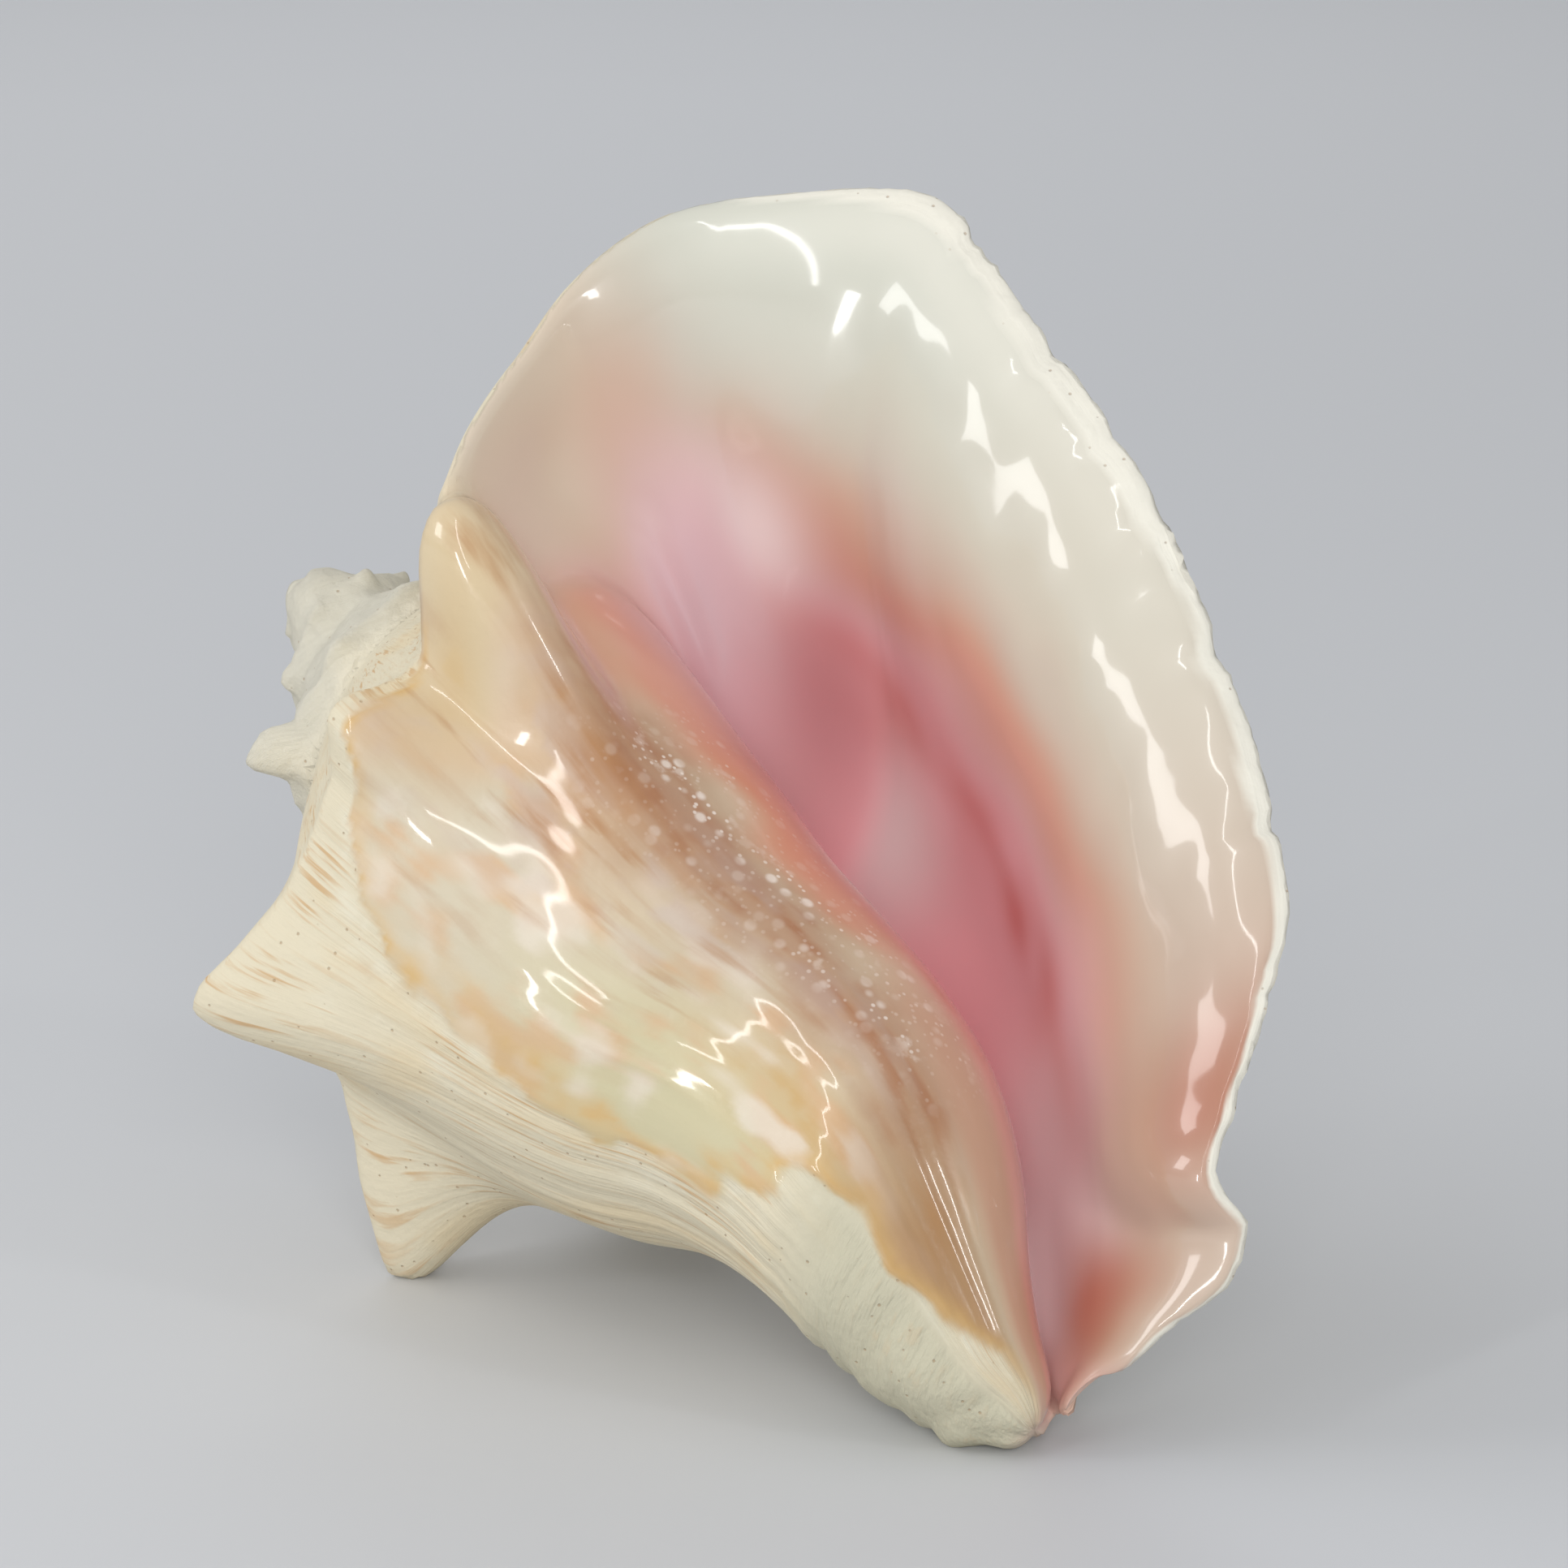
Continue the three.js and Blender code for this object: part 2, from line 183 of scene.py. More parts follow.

# %% [markdown]
# The lip is where the grown animal turned the wall outward and spread it like a sheet. Its edge is
# the one curve that the photo shows best, so the edge is given point by point, and the wall
# swings out to it from the whorl on a curve that leaves along the spiral and arrives along the lip.

# %% Lip wall
LIP_EDGE = [  # toward the lip, toward the belly, toward the apex, level of the whorl it grew from
    (-6, -10, 1, 0),
    (-2, -9, 1.5, 0.03),
    (4, -8, 0.5, 0.07),
    (10, -6, -3, 0.12),
    (18, -5, -4, 0.18),
    (31, -1, -7, 0.25),
    (38, 2, -4, 0.3),
    (40, 8, 3, 0.36),
    (48, 10, 7, 0.42),
    (65, 14, 15, 0.5),
    (76, 18, 21, 0.56),
    (88, 22, 38, 0.64),
    (99, 24, 61, 0.72),
    (113, 26, 100, 0.86),
    (119, 28, 134, 0.97),
    (123, 29, 157, 1.08),
    (119, 30, 166, 1.16),
    (105, 32, 180, 1.28),
    (90, 35, 190, 1.42),
    (72, 40, 191, 1.56),
    (55, 45, 186, 1.72),
    (41, 52, 178, 1.87),
    (30, 58, 169, 2),
]
LIP_FLARE = [  # level, angle of the lip at its edge, pull along the whorl, pull along the lip
    (0, 0, 0.6, 0.6),
    (0.2, 0, 0.9, 0.9),
    (0.36, 0, 1.1, 1.1),
    (0.5, 6, 1.25, 1.3),
    (0.72, 10, 1.4, 1.4),
    (0.97, 12, 1.45, 1.4),
    (1.16, 16, 1.35, 1.3),
    (1.42, 30, 1.1, 1.1),
    (1.72, 55, 0.8, 0.8),
    (2, 95, 0.6, 0.6),
]
LIP_SLOPE = 0.9
LIP_START = 285
LIP_OVERLAP = 30
SMALL_TURN = 0.5


def wall(along, level, spines=False):
    """Outer skin of the last growth: along below 0 lies on the whorl, 1 is the lip's edge."""
    along, level = np.broadcast_arrays(np.asarray(along, float), np.asarray(level, float))
    on_whorl = whorl(LIP_START + np.minimum(along, 0) * LIP_OVERLAP, level, spines)
    start = whorl(np.full_like(level, LIP_START), level, False)
    to_lip, to_belly, apex = read(LIP_EDGE, level, 3)
    end = np.stack([to_lip, -to_belly, apex], -1)
    flare, pull_start, pull_end = read(LIP_FLARE, level, 0)
    span = np.hypot(end[..., 0] - start[..., 0], end[..., 1] - start[..., 1])
    leaving = whorl(np.full_like(level, LIP_START + SMALL_TURN), level, False) - start
    leaving *= (span * pull_start / np.linalg.norm(leaving, axis=-1))[..., None]
    turn = np.radians(flare)
    rise = (end[..., 2] - start[..., 2]) * LIP_SLOPE
    arriving = np.stack(
        [np.cos(turn) * span * pull_end, -np.sin(turn) * span * pull_end, rise], -1)
    f = np.clip(along, 0, 1)[..., None]
    swing = (2 * f**3 - 3 * f**2 + 1) * start + (f**3 - 2 * f**2 + f) * leaving
    swing += (3 * f**2 - 2 * f**3) * end + (f**3 - f**2) * arriving
    return np.where(along[..., None] < 0, on_whorl, swing)


print("lip reaches", wall(1.0, 1.08).round(1), "mm from the axis")

# %% [markdown]
# The spire is what is left of the younger whorls. Each climbs by a ramp from its crest to the
# seam, then by a short step to the next crest, and small knobs stand on the crests.

# %% Spire
SPIRE_FROM, SPIRE_TO = 0.45, 3.1
SQUAT_FROM, SQUAT = 160, 0.22
SEAM_AT = 0.8
SEAM_RADIUS = 0.585
SEAM_DROP = 0.7
SPIRE_SINK = 2
COVERED_FROM, COVERED_FADE = 0.27, 0.05
KNOB_FIRST, KNOB_SPACING, KNOB_HEIGHT, KNOB_REACH = 142, 46, 0.16, 0.1


def spire(angle, turns_back):
    turn = (angle - CREST_ANGLE) / 360
    whorl_number = np.floor(turns_back + turn)
    climb = turns_back + turn - whorl_number
    grown = GROWTH_PER_TURN ** (turn - whorl_number)
    next_crest = 1 / GROWTH_PER_TURN
    ramp = np.minimum(climb / SEAM_AT, 1)
    step = np.maximum((climb - SEAM_AT) / (1 - SEAM_AT), 0)
    radius = 1 + (SEAM_RADIUS - 1) * ramp + (next_crest - SEAM_RADIUS) * step
    drop = 1 + (SEAM_DROP - 1) * ramp + (next_crest - SEAM_DROP) * step
    knob_turn = np.maximum(0, np.cos(2 * np.pi * (angle - KNOB_FIRST) / KNOB_SPACING))
    knob = KNOB_HEIGHT * hill(np.minimum(climb, 1 - climb), KNOB_REACH) * knob_turn**2
    covered = np.where(whorl_number < 1, 1, 0)
    covered = np.where(whorl_number == 1, ease((turn - COVERED_FROM) / COVERED_FADE), covered)
    r = CREST_RADIUS * grown * radius * (1 + knob) - SPIRE_SINK * covered
    w = APEX_LEVEL - CREST_DROP * grown * drop
    w = w - SQUAT * np.maximum(w - SQUAT_FROM, 0)
    turned = np.radians(angle)
    return np.stack([r * np.cos(turned), -r * np.sin(turned), w], -1)


print("spire top", spire(np.array(0.0), np.array(SPIRE_TO)).round(1), "mm")

# %% [markdown]
# The shell stands on its canal tip and two spines, with the lip raised. Three angles turn its own
# axes to that stance, and one point says where the foot of the coiling axis is in the frame.

# %% Stance
AXIS_RISE = math.radians(26.02)
AXIS_HEADING = math.radians(132.3)
LIP_ROLL = math.radians(49.14)
AXIS_FOOT = np.array([54.793, -71.951, 15.065])

axis = np.array([math.cos(AXIS_RISE) * math.cos(AXIS_HEADING),
                 math.cos(AXIS_RISE) * math.sin(AXIS_HEADING), math.sin(AXIS_RISE)])
level_way = np.array([math.sin(AXIS_HEADING), -math.cos(AXIS_HEADING), 0])
upright = np.cross(level_way, axis)
lip_way = level_way * math.cos(LIP_ROLL) + upright * math.sin(LIP_ROLL)
back_way = np.cross(axis, lip_way)
STANCE = np.stack([lip_way, back_way, axis])


def stand(points):
    return (points @ STANCE + AXIS_FOOT) * MM


print("apex stands at", stand(np.array([0, 0, APEX_LEVEL])).round(4), "m")

# %% [markdown]
# A grid primitive is a sheet of squares. Each of its points has a column and a row, so any tube can
# be wrapped from it: the last column lies on the first, the end rows shrink to a point or fold
# flat, and merging the doubled points closes the skin.

# %% Wrap a grid into a closed skin
MERGE = 1e-7


def wrap_grid(name, points, marks):
    """points is columns by rows by 3, in the shell's own axes; marks are named values at each."""
    columns, rows = points.shape[0], points.shape[1]
    bpy.ops.mesh.primitive_grid_add(x_subdivisions=columns - 1, y_subdivisions=rows - 1, size=1)
    piece = bpy.context.object
    piece.name = piece.data.name = name
    mesh = piece.data
    flat = np.empty(len(mesh.vertices) * 3)
    mesh.vertices.foreach_get("co", flat)
    sheet = flat.reshape(-1, 3)
    column = np.rint((sheet[:, 0] + 0.5) * (columns - 1)).astype(int)
    row = np.rint((sheet[:, 1] + 0.5) * (rows - 1)).astype(int)
    mesh.vertices.foreach_set("co", stand(points)[column, row].ravel())
    for mark, values in marks.items():
        layer = mesh.attributes.new(mark, "FLOAT", "POINT")
        layer.data.foreach_set("value", np.ascontiguousarray(values[column, row], np.float32))
    bpy.ops.object.mode_set(mode="EDIT")
    bpy.ops.mesh.select_all(action="SELECT")
    bpy.ops.mesh.remove_doubles(threshold=MERGE)
    bpy.ops.mesh.normals_make_consistent(inside=False)
    bpy.ops.object.mode_set(mode="OBJECT")
    print(name, len(mesh.vertices), "points", len(mesh.polygons), "faces")
    return piece


def ring_closed(points):
    return np.concatenate([points, points[:1]], 0)


def end_to_point(points):
    points = points.copy()
    points[:, 0] = points[:-1, 0].mean(0)
    points[:, -1] = points[:-1, -1].mean(0)
    return points


print("points closer than", MERGE, "m become one")

# %% [markdown]
# The last whorl is the first skin. On the real shell it is a tube that wraps the older whorls, and
# here it is a grid whose columns follow the spiral and whose rows climb the profile. Its end dives
# under the place where the lip starts, so that the two can be joined later without a gap.

# %% Grow the last whorl
WHORL_START, WHORL_END = -75, 270
WHORL_DIVE, WHORL_DIVE_FROM, WHORL_DIVE_SPAN = 0.06, 257, 10
WHORL_COLUMNS, SIDE_ROWS, RAMP_ROWS = 240, 125, 30


def grow_whorl():
    levels = np.concatenate([np.linspace(0, 1, SIDE_ROWS, endpoint=False),
                             np.linspace(1, SEAM_LEVEL, RAMP_ROWS)])
    angles = np.linspace(WHORL_START, WHORL_END, WHORL_COLUMNS)
    angle, level = np.meshgrid(angles, levels, indexing="ij")
    points = whorl(angle, level)
    dive = 1 - WHORL_DIVE * ease((angle - WHORL_DIVE_FROM) / WHORL_DIVE_SPAN)
    points[..., :2] *= dive[..., None]
    marks = {"turn": ring_closed(angle), "level": ring_closed(level),
             "along": ring_closed(angle * 0 - 1), "part": ring_closed(angle * 0)}
    return wrap_grid("whorl", end_to_point(ring_closed(points)), marks)


shell = grow_whorl()

# %% [markdown]
# On the real lip a thin sheet ends in an edge that is rolled back a little and chipped. A Solidify
# modifier could give a sheet its thickness, but this wall thins from the whorl to the edge and
# thins again at the canal, so both of its faces are worked out here. The chips are a random swell
# along the edge, cut off where it would stand out.

# %% Lip sheet
LIP_COLUMNS, OVERLAP_COLUMNS, LIP_ROWS = 86, 14, 225
EDGE_ROUND, EDGE_COLUMNS = 0.028, 6
EDGE_SAMPLES = 2000
CHIPS = [  # height, length in rows, seed
    (0.5, 17, 81),
    (0.5, 7, 82),
    (0.25, 3.2, 83),
]
CHIP_DEPTH, CHIP_FROM, CHIP_REACH = 0.0036, 0.9, 0.1
CHIPS_FROM_LEVEL, CHIPS_TO_LEVEL, CHIPS_FADE, CHIPS_LOST = 0.1, 1.1, 0.1, 0.85
ROLL_FROM, ROLL_DEPTH = 0.88, 4.5
ROLL_LEVEL, ROLL_RISE, ROLL_END, ROLL_FALL = 0.45, 0.25, 1.35, 0.4


def swell(where, wavelength, seed, waves=16):
    """Smooth random swell of about unit height over places in millimetres."""
    rng = np.random.default_rng(seed)
    ways = rng.normal(size=(waves, where.shape[-1]))
    ways /= np.linalg.norm(ways, axis=1, keepdims=True)
    lengths = wavelength * rng.uniform(0.7, 1.5, waves)
    phases = rng.uniform(0, 2 * np.pi, waves)
    total = np.zeros(len(where))
    for way, length, phase in zip(ways, lengths, phases):
        total += np.sin(where @ way * (2 * np.pi / length) + phase)
    return total * math.sqrt(2 / waves)


def lip_levels():
    """Levels that step evenly along the lip's edge."""
    fine = np.linspace(0, SEAM_LEVEL, EDGE_SAMPLES)
    edge = np.stack(read(LIP_EDGE, fine, 3), -1)
    walked = np.concatenate([[0], np.cumsum(np.linalg.norm(np.diff(edge, axis=0), axis=1))])
    return np.interp(np.linspace(0, walked[-1], LIP_ROWS), walked, fine)


def lip_alongs():
    """Places along the lip, closer together on its round edge."""
    quarter_round = np.sin(np.linspace(0, np.pi / 2, EDGE_COLUMNS))
    return np.concatenate([np.linspace(-1, 0, OVERLAP_COLUMNS, endpoint=False),
                           np.linspace(0, 1 - EDGE_ROUND, LIP_COLUMNS, endpoint=False),
                           1 - EDGE_ROUND * (1 - quarter_round)])


def facing(points):
    """Unit direction across a sheet, from its columns and rows."""
    across = np.cross(np.gradient(points, axis=0), np.gradient(points, axis=1))
    return across / np.linalg.norm(across, axis=-1, keepdims=True)


def lip_sheet(along, level):
    """The chipped and rolled sheet, and the way from it to the open side."""
    row = np.arange(LIP_ROWS)[:, None]
    chips = np.maximum(sum(height * swell(row, length, seed) for height, length, seed in CHIPS), 0)
    chips = chips * ease((level[0] - CHIPS_FROM_LEVEL) / CHIPS_FADE)
    chips = chips * (1 - CHIPS_LOST * ease((level[0] - CHIPS_TO_LEVEL) / CHIPS_FADE))
    sheet = wall(along - CHIP_DEPTH * chips * ease((along - CHIP_FROM) / CHIP_REACH), level)
    inward = facing(sheet)
    roll = ROLL_DEPTH * np.maximum((along - ROLL_FROM) / (1 - ROLL_FROM), 0) ** 2
    roll *= ease((level - ROLL_LEVEL) / ROLL_RISE) * (1 - ease((level - ROLL_END) / ROLL_FALL))
    return sheet - inward * roll[..., None], inward


print("lip rows", LIP_ROWS, "columns", len(lip_alongs()))

# %% [markdown]
# The two faces of the wall: the outer one starts on the whorl and carries the last knob, the inner
# one is rounded deep in the throat, and they meet in a half-round edge. The lip's far end is pushed
# on under the whorl before it, so that no gap is left there.

# %% Grow the lip
WALL_AT_WHORL = 6
WALL_AT_EDGE = 3
WALL_AT_CANAL = 0.35
CANAL_LEVEL = 0.25
LIP_STAND_OFF = 0.3
LAST_KNOB_ALONG, LAST_KNOB_LEVEL, LAST_KNOB_LENGTH = 0.14, 1.02, 15
LAST_KNOB_WIDTH, LAST_KNOB_DEPTH, LAST_KNOB_BLUNTNESS = 0.1, 0.2, 1.7
THROAT_FROM, THROAT_FADE = 0.32, 0.42
THROAT_ROUND = 13
TUCK_FROM, TUCK = 1.8, 5
LIP_TURNS = 110
OUTSIDE_PART, INSIDE_PART = 1, 2


def round_off_rows(points):
    """Each row mixed with its neighbours, so that creases along the columns turn into hollows."""
    reach = np.arange(-2 * THROAT_ROUND, 2 * THROAT_ROUND + 1)
    shares = hill(reach, THROAT_ROUND * math.sqrt(2))
    shares /= shares.sum()
    rows = np.arange(points.shape[1])
    mixed = np.zeros_like(points)
    for step, share in zip(reach, shares):
        mixed += share * points[:, np.clip(rows + step, 0, rows[-1])]
    return mixed


def lip_faces(along, level):
    """Outer and inner face of the lip's wall."""
    sheet, inward = lip_sheet(along, level)
    x = (along - LAST_KNOB_ALONG) / LAST_KNOB_WIDTH
    y = (level - LAST_KNOB_LEVEL) / LAST_KNOB_DEPTH
    knob = LAST_KNOB_LENGTH * np.exp(-((np.hypot(x, y) / SPINE_TAPER) ** LAST_KNOB_BLUNTNESS))
    share = WALL_AT_CANAL + (1 - WALL_AT_CANAL) * ease(level / CANAL_LEVEL)
    thickness = share * (WALL_AT_WHORL + (WALL_AT_EDGE - WALL_AT_WHORL) * ease(along))
    nose = np.maximum((along - 1 + EDGE_ROUND) / EDGE_ROUND, 0)
    round_off = np.sqrt(np.maximum(1 - nose**2, 0))
    middle = thickness / 2
    outer_sheet = np.where(along[..., None] < 0, wall(along, level, True), sheet)
    stand_off = middle - (middle + LIP_STAND_OFF) * round_off - knob
    outside = outer_sheet + inward * stand_off[..., None]
    inside = sheet + inward * (middle + middle * round_off)[..., None]
    deep = 1 - ease((along - THROAT_FROM) / THROAT_FADE)
    inside = inside + (round_off_rows(inside) - inside) * deep[..., None]
    onward = np.gradient(sheet, axis=1)
    onward /= np.linalg.norm(onward, axis=-1, keepdims=True)
    tuck = (TUCK * ease((level - TUCK_FROM) / (SEAM_LEVEL - TUCK_FROM)))[..., None]
    return outside + onward * tuck, inside + onward * tuck


def around(outer, inner):
    """One loop of columns: out along the outer face and back along the inner one."""
    return ring_closed(np.concatenate([outer, inner[::-1]], 0))


def grow_lip():
    along, level = np.meshgrid(lip_alongs(), lip_levels(), indexing="ij")
    outside, inside = lip_faces(along, level)
    for end in (0, -1):
        outside[:, end] = inside[:, end] = (outside[:, end] + inside[:, end]) / 2
    turn = np.where(along < 0, LIP_START + along * LIP_OVERLAP, LIP_START + along * LIP_TURNS)
    marks = {"turn": around(turn, turn), "level": around(level, level), "along": around(along, along),
             "part": around(level * 0 + OUTSIDE_PART, level * 0 + INSIDE_PART)}
    return wrap_grid("lip", around(outside, inside), marks)


lip = grow_lip()

# %% [markdown]
# The spire is a plain tube of rings, each a little smaller and higher than the one before.

# %% Grow the spire
SPIRE_COLUMNS, SPIRE_ROWS = 120, 90
SPIRE_PART = 3


def grow_spire():
    angle, back = np.meshgrid(np.linspace(0, 360, SPIRE_COLUMNS, endpoint=False),
                              np.linspace(SPIRE_FROM, SPIRE_TO, SPIRE_ROWS), indexing="ij")
    points = end_to_point(ring_closed(spire(angle, back)))
    marks = {"turn": ring_closed(angle - 360 * back), "level": ring_closed(back * 0 + SEAM_LEVEL),
             "along": ring_closed(angle * 0 - 1), "part": ring_closed(angle * 0 + SPIRE_PART)}
    return wrap_grid("spire", points, marks)


spire_piece = grow_spire()

# %% [markdown]
# The three skins cross each other where the animal's growth joined them. They could stay three
# meshes that poke through each other, but a Boolean union leaves one closed body, as the real shell
# is, with a clean line at each join.

# %% Join the skins
def join(body, other):
    bpy.ops.object.select_all(action="DESELECT")
    bpy.context.view_layer.objects.active = body
    body.select_set(True)
    union = body.modifiers.new("union", "BOOLEAN")
    union.operation = "UNION"
    union.solver = "MANIFOLD"
    union.object = other
    bpy.ops.object.modifier_apply(modifier=union.name)
    bpy.data.objects.remove(other)
    print("joined", len(body.data.vertices), "points", len(body.data.polygons), "faces")


join(shell, lip)
join(shell, spire_piece)
shell.name = shell.data.name = "conch"
bpy.ops.object.shade_smooth()

# %% [markdown]
# Marks carried through the union tell where each point grew: its turn, level, place along the lip
# and part. Points that the union made have none, so each takes those of the nearest point that has.

# %% Carry the marks over
MARKS = ("turn", "level", "along", "part")


def mark(name):
    values = np.empty(len(shell.data.vertices), np.float32)
    shell.data.attributes[name].data.foreach_get("value", values)
    return values.astype(float)


def places():
    flat = np.empty(len(shell.data.vertices) * 3)
    shell.data.vertices.foreach_get("co", flat)
    return flat.reshape(-1, 3)


def nearest(points, places_asked):
    """Which of the points is nearest to each place, and how far."""
    tree = KDTree(len(points))
    for n, point in enumerate(points):
        tree.insert(point, n)
    tree.balance()
    found = [tree.find(place) for place in places_asked]
    return np.array([f[1] for f in found]), np.array([f[2] for f in found])


def fill_marks():
    values = np.stack([mark(name) for name in MARKS], 1)
    blank = np.abs(values).sum(1) == 0
    here = places()
    values[blank] = values[~blank][nearest(here[~blank], here[blank])[0]]
    for column, name in enumerate(MARKS):
        filled = np.ascontiguousarray(values[:, column], np.float32)
        shell.data.attributes[name].data.foreach_set("value", filled)
    print("filled the marks of", int(blank.sum()), "points")


fill_marks()
turn, level, along, part = (mark(name) for name in MARKS)
on_whorl = part < 0.5
lip_outside = (part >= 0.5) & (part < 1.5)
lip_inside = (part >= 1.5) & (part < 2.5)
on_lip = lip_outside | lip_inside
on_spire = part >= 2.5

# %% [markdown]
# On the real shell no join shows, because the animal smoothed each with new layers. A Bevel would
# leave a band of even width, so a Smooth modifier that works only near the joins melts them. It
# also softens the throat and the fold behind the lip's notch.

# %% Melt the joins
MELT_REACH, MELT_STEPS = 0.006, 40
MELT_LEAST, MELT_FACTOR = 0.02, 0.5
THROAT_STEPS = 60
NOTCH_STEPS = 90


def rise(x, low, high):
    """0 below low, 1 above high, with a soft step between."""
    return ease((x - low) / (high - low))


def fall(x, low, high):
    return 1 - rise(x, low, high)


def melt(name, weight, steps):
    group = shell.vertex_groups.new(name=name)
    for i in np.flatnonzero(weight > MELT_LEAST):
        group.add([int(i)], float(min(weight[i], 1)), "REPLACE")
    soften = shell.modifiers.new(name, "SMOOTH")
    soften.vertex_group = group.name
    soften.iterations = steps
    soften.factor = MELT_FACTOR
    bpy.ops.object.modifier_apply(modifier=soften.name)
    shell.vertex_groups.clear()
    print("melted", name, "over", int((weight > 0.5).sum()), "points")


ends = np.empty(len(shell.data.edges) * 2, int)
shell.data.edges.foreach_get("vertices", ends)
ends = ends.reshape(-1, 2)
skin = np.where(on_whorl, 0, np.where(on_spire, 2, 1))
crossing = np.unique(ends[skin[ends[:, 0]] != skin[ends[:, 1]]])
near_join = nearest(places()[crossing], places())[1]
melt("joins", hill(near_join, MELT_REACH), MELT_STEPS)
throat = lip_inside * fall(along, 0.42, 0.67) * rise(level, 0.6, 0.8) * fall(level, 1.5, 1.7)
melt("throat", throat, THROAT_STEPS)
notch_fold = on_lip * hill(level - 0.37, 0.12) * fall(along, 0.7, 0.9) * rise(along, 0, 0.15)
melt("notch fold", notch_fold, NOTCH_STEPS)

# %% [markdown]
# The outside of the shell is chalky. The callus, a glaze that the animal laid over the belly side,
# is polished and ends in a wavy margin, given here at each level. The glaze is laid only on
# the open side: a ray along the axis tells which points of the ramp lie behind the lip.

# %% Callus
CALLUS_MARGIN = [  # level, turn where the callus ends
    (0, 45), (0.04, 57), (0.12, 95), (0.18, 105), (0.24, 104), (0.31, 119), (0.4, 140), (0.54, 147),
    (0.6, 143), (0.7, 138), (0.8, 137), (0.86, 136), (0.92, 126), (0.96, 113), (0.98, 96),
    (1, 80), (1.06, 66), (1.2, 58), (2, 52),
]
MARGIN_FADE, CANAL_FADE = 5, 14
MARGIN_WOBBLE, MARGIN_TREMBLE = 2.5, 0.5
OPEN_FROM_LEVEL, OPEN_TO_TURN = 0.85, 50
LIFT = 0.001


def normals():
    flat = np.empty(len(shell.data.vertices) * 3, np.float32)
    shell.data.vertex_normals.foreach_get("vector", flat)
    return flat.reshape(-1, 3).astype(float)


own = (places() / MM - AXIS_FOOT) @ STANCE.T
skin_tree = BVHTree.FromObject(shell, bpy.context.evaluated_depsgraph_get())
lifted = places() + normals() * LIFT
behind_lip = np.zeros(len(turn), bool)
for i in np.flatnonzero(on_whorl & (level > OPEN_FROM_LEVEL) & (turn < OPEN_TO_TURN)):
    behind_lip[i] = skin_tree.ray_cast(Vector(lifted[i]), Vector(axis))[0] is None
print("points behind the lip", int(behind_lip.sum()))

margin_fade = MARGIN_FADE + CANAL_FADE * fall(level, 0, 0.16)
inside_margin = through(level, *zip(*CALLUS_MARGIN)) - turn
inside_margin += MARGIN_WOBBLE * swell(own, 9, 1) + MARGIN_TREMBLE * swell(own, 3.5, 2)
callus = np.where(on_whorl & ~behind_lip, ease(0.5 + inside_margin / margin_fade), 0)
print("callus points", int((callus > 0.5).sum()))

# %% [markdown]
# The lip is polished inside and worn to matt white at its edge, more so on the right where it was
# knocked about. Polish is one number for each point, from 0 for chalk to 1 for glaze.

# %% Polish
EDGE_FROM = [  # level, place along the lip where its edge is worn to matt white
    (0, 0.985), (0.3, 0.985), (0.5, 0.983), (0.7, 0.978), (0.9, 0.972), (1.1, 0.974), (1.2, 0.982),
    (1.3, 0.995), (2, 1),
]
EDGE_WOBBLE, EDGE_FADE, EDGE_DULL = 0.004, 0.008, 0.9

worn_from = through(level, *zip(*EDGE_FROM)) + EDGE_WOBBLE * swell(own, 22, 3)
edge = np.where(on_lip, ease((along - worn_from) / EDGE_FADE), 0)
polish = np.where(lip_inside, 1 - EDGE_DULL * edge, callus)
print("polished points", int((polish > 0.5).sum()))

# %% [markdown]
# Fine relief is real shape, so it moves the mesh: growth ridges on the chalk, a wavy glaze on the
# callus, swells and a worn, chipped edge on the lip, pits on the spire. The rope-like band beside
# the canal, the fasciole, is ridged the other way. A Displace modifier would need one texture for
# each of these, so their heights are added up in one table and the points moved once.

# %% Fine relief
SIDE_LENGTH = 140
PART_GAP = 50
GLAZE_THICKNESS, EDGE_LOSS = 0.5, 0.25
flow = np.stack([turn, level * SIDE_LENGTH, np.rint(part) * PART_GAP], -1)


def stretched(growth, spiral):
    return np.stack([flow[:, 0] * growth, flow[:, 1] * spiral], -1)


chalk_whorl = on_whorl * (1 - callus)
fasciole = on_whorl * fall(level, 0.22, 0.36) * rise(turn, 90, 115)
wavy = callus * rise(turn, 45, 75)
rim = lip_inside * rise(along, 0.6, 0.95)
lower_rim = rim * fall(level, 0.95, 1.15)
outer_ridges = lip_outside * fall(along, 0.85, 0.95)
chipped = edge * (1 - 0.9 * rise(level, 1.1, 1.25))
RELIEF = [  # where, height in millimetres, pattern, wavelength, seed
    (callus, 0.25, own, 30, 11),
    (wavy, 0.03, own, 11, 12),
    (wavy, 0.055, stretched(1, 0.2), 8, 13),
    (chalk_whorl * (1 - fasciole), 0.12, stretched(1, 0.06), 7, 14),
    (fasciole, 0.3, own, 22, 15),
    (fasciole, 0.3, stretched(0.12, 1), 6, 16),
    (rim, 0.18, own, 34, 17),
    (lower_rim, 0.3, own, 24, 18),
    (lower_rim, 0.08, own, 11, 26),
    (lip_inside * fall(along, 0.4, 0.8), 0.2, stretched(0.3, 1), 34, 19),
    (outer_ridges, 0.22, stretched(1, 0.08), 5, 20),
    (outer_ridges * rise(along, 0, 0.2), 0.6, stretched(0.06, 1), 10, 21),
    (chipped, 0.1, own, 6, 22),
    (chipped, 0.1, own, 3, 23),
    (on_spire, 0.3, own, 9, 24),
    (on_spire, 0.12, own, 3.4, 25),
]
relief = GLAZE_THICKNESS * callus - EDGE_LOSS * chipped * lip_inside
for here, height, pattern, wavelength, seed in RELIEF:
    relief += here * height * swell(pattern, wavelength, seed)
print("relief from %.2f to %.2f mm" % (relief.min(), relief.max()))

# %% [markdown]
# A few single forms come on top: a shallow dish and a tongue at the lip's far end, the stub of a
# broken knob and a filled-out corner on the spire. The relief stays clear of the joins, which are
# melted once more at the end.

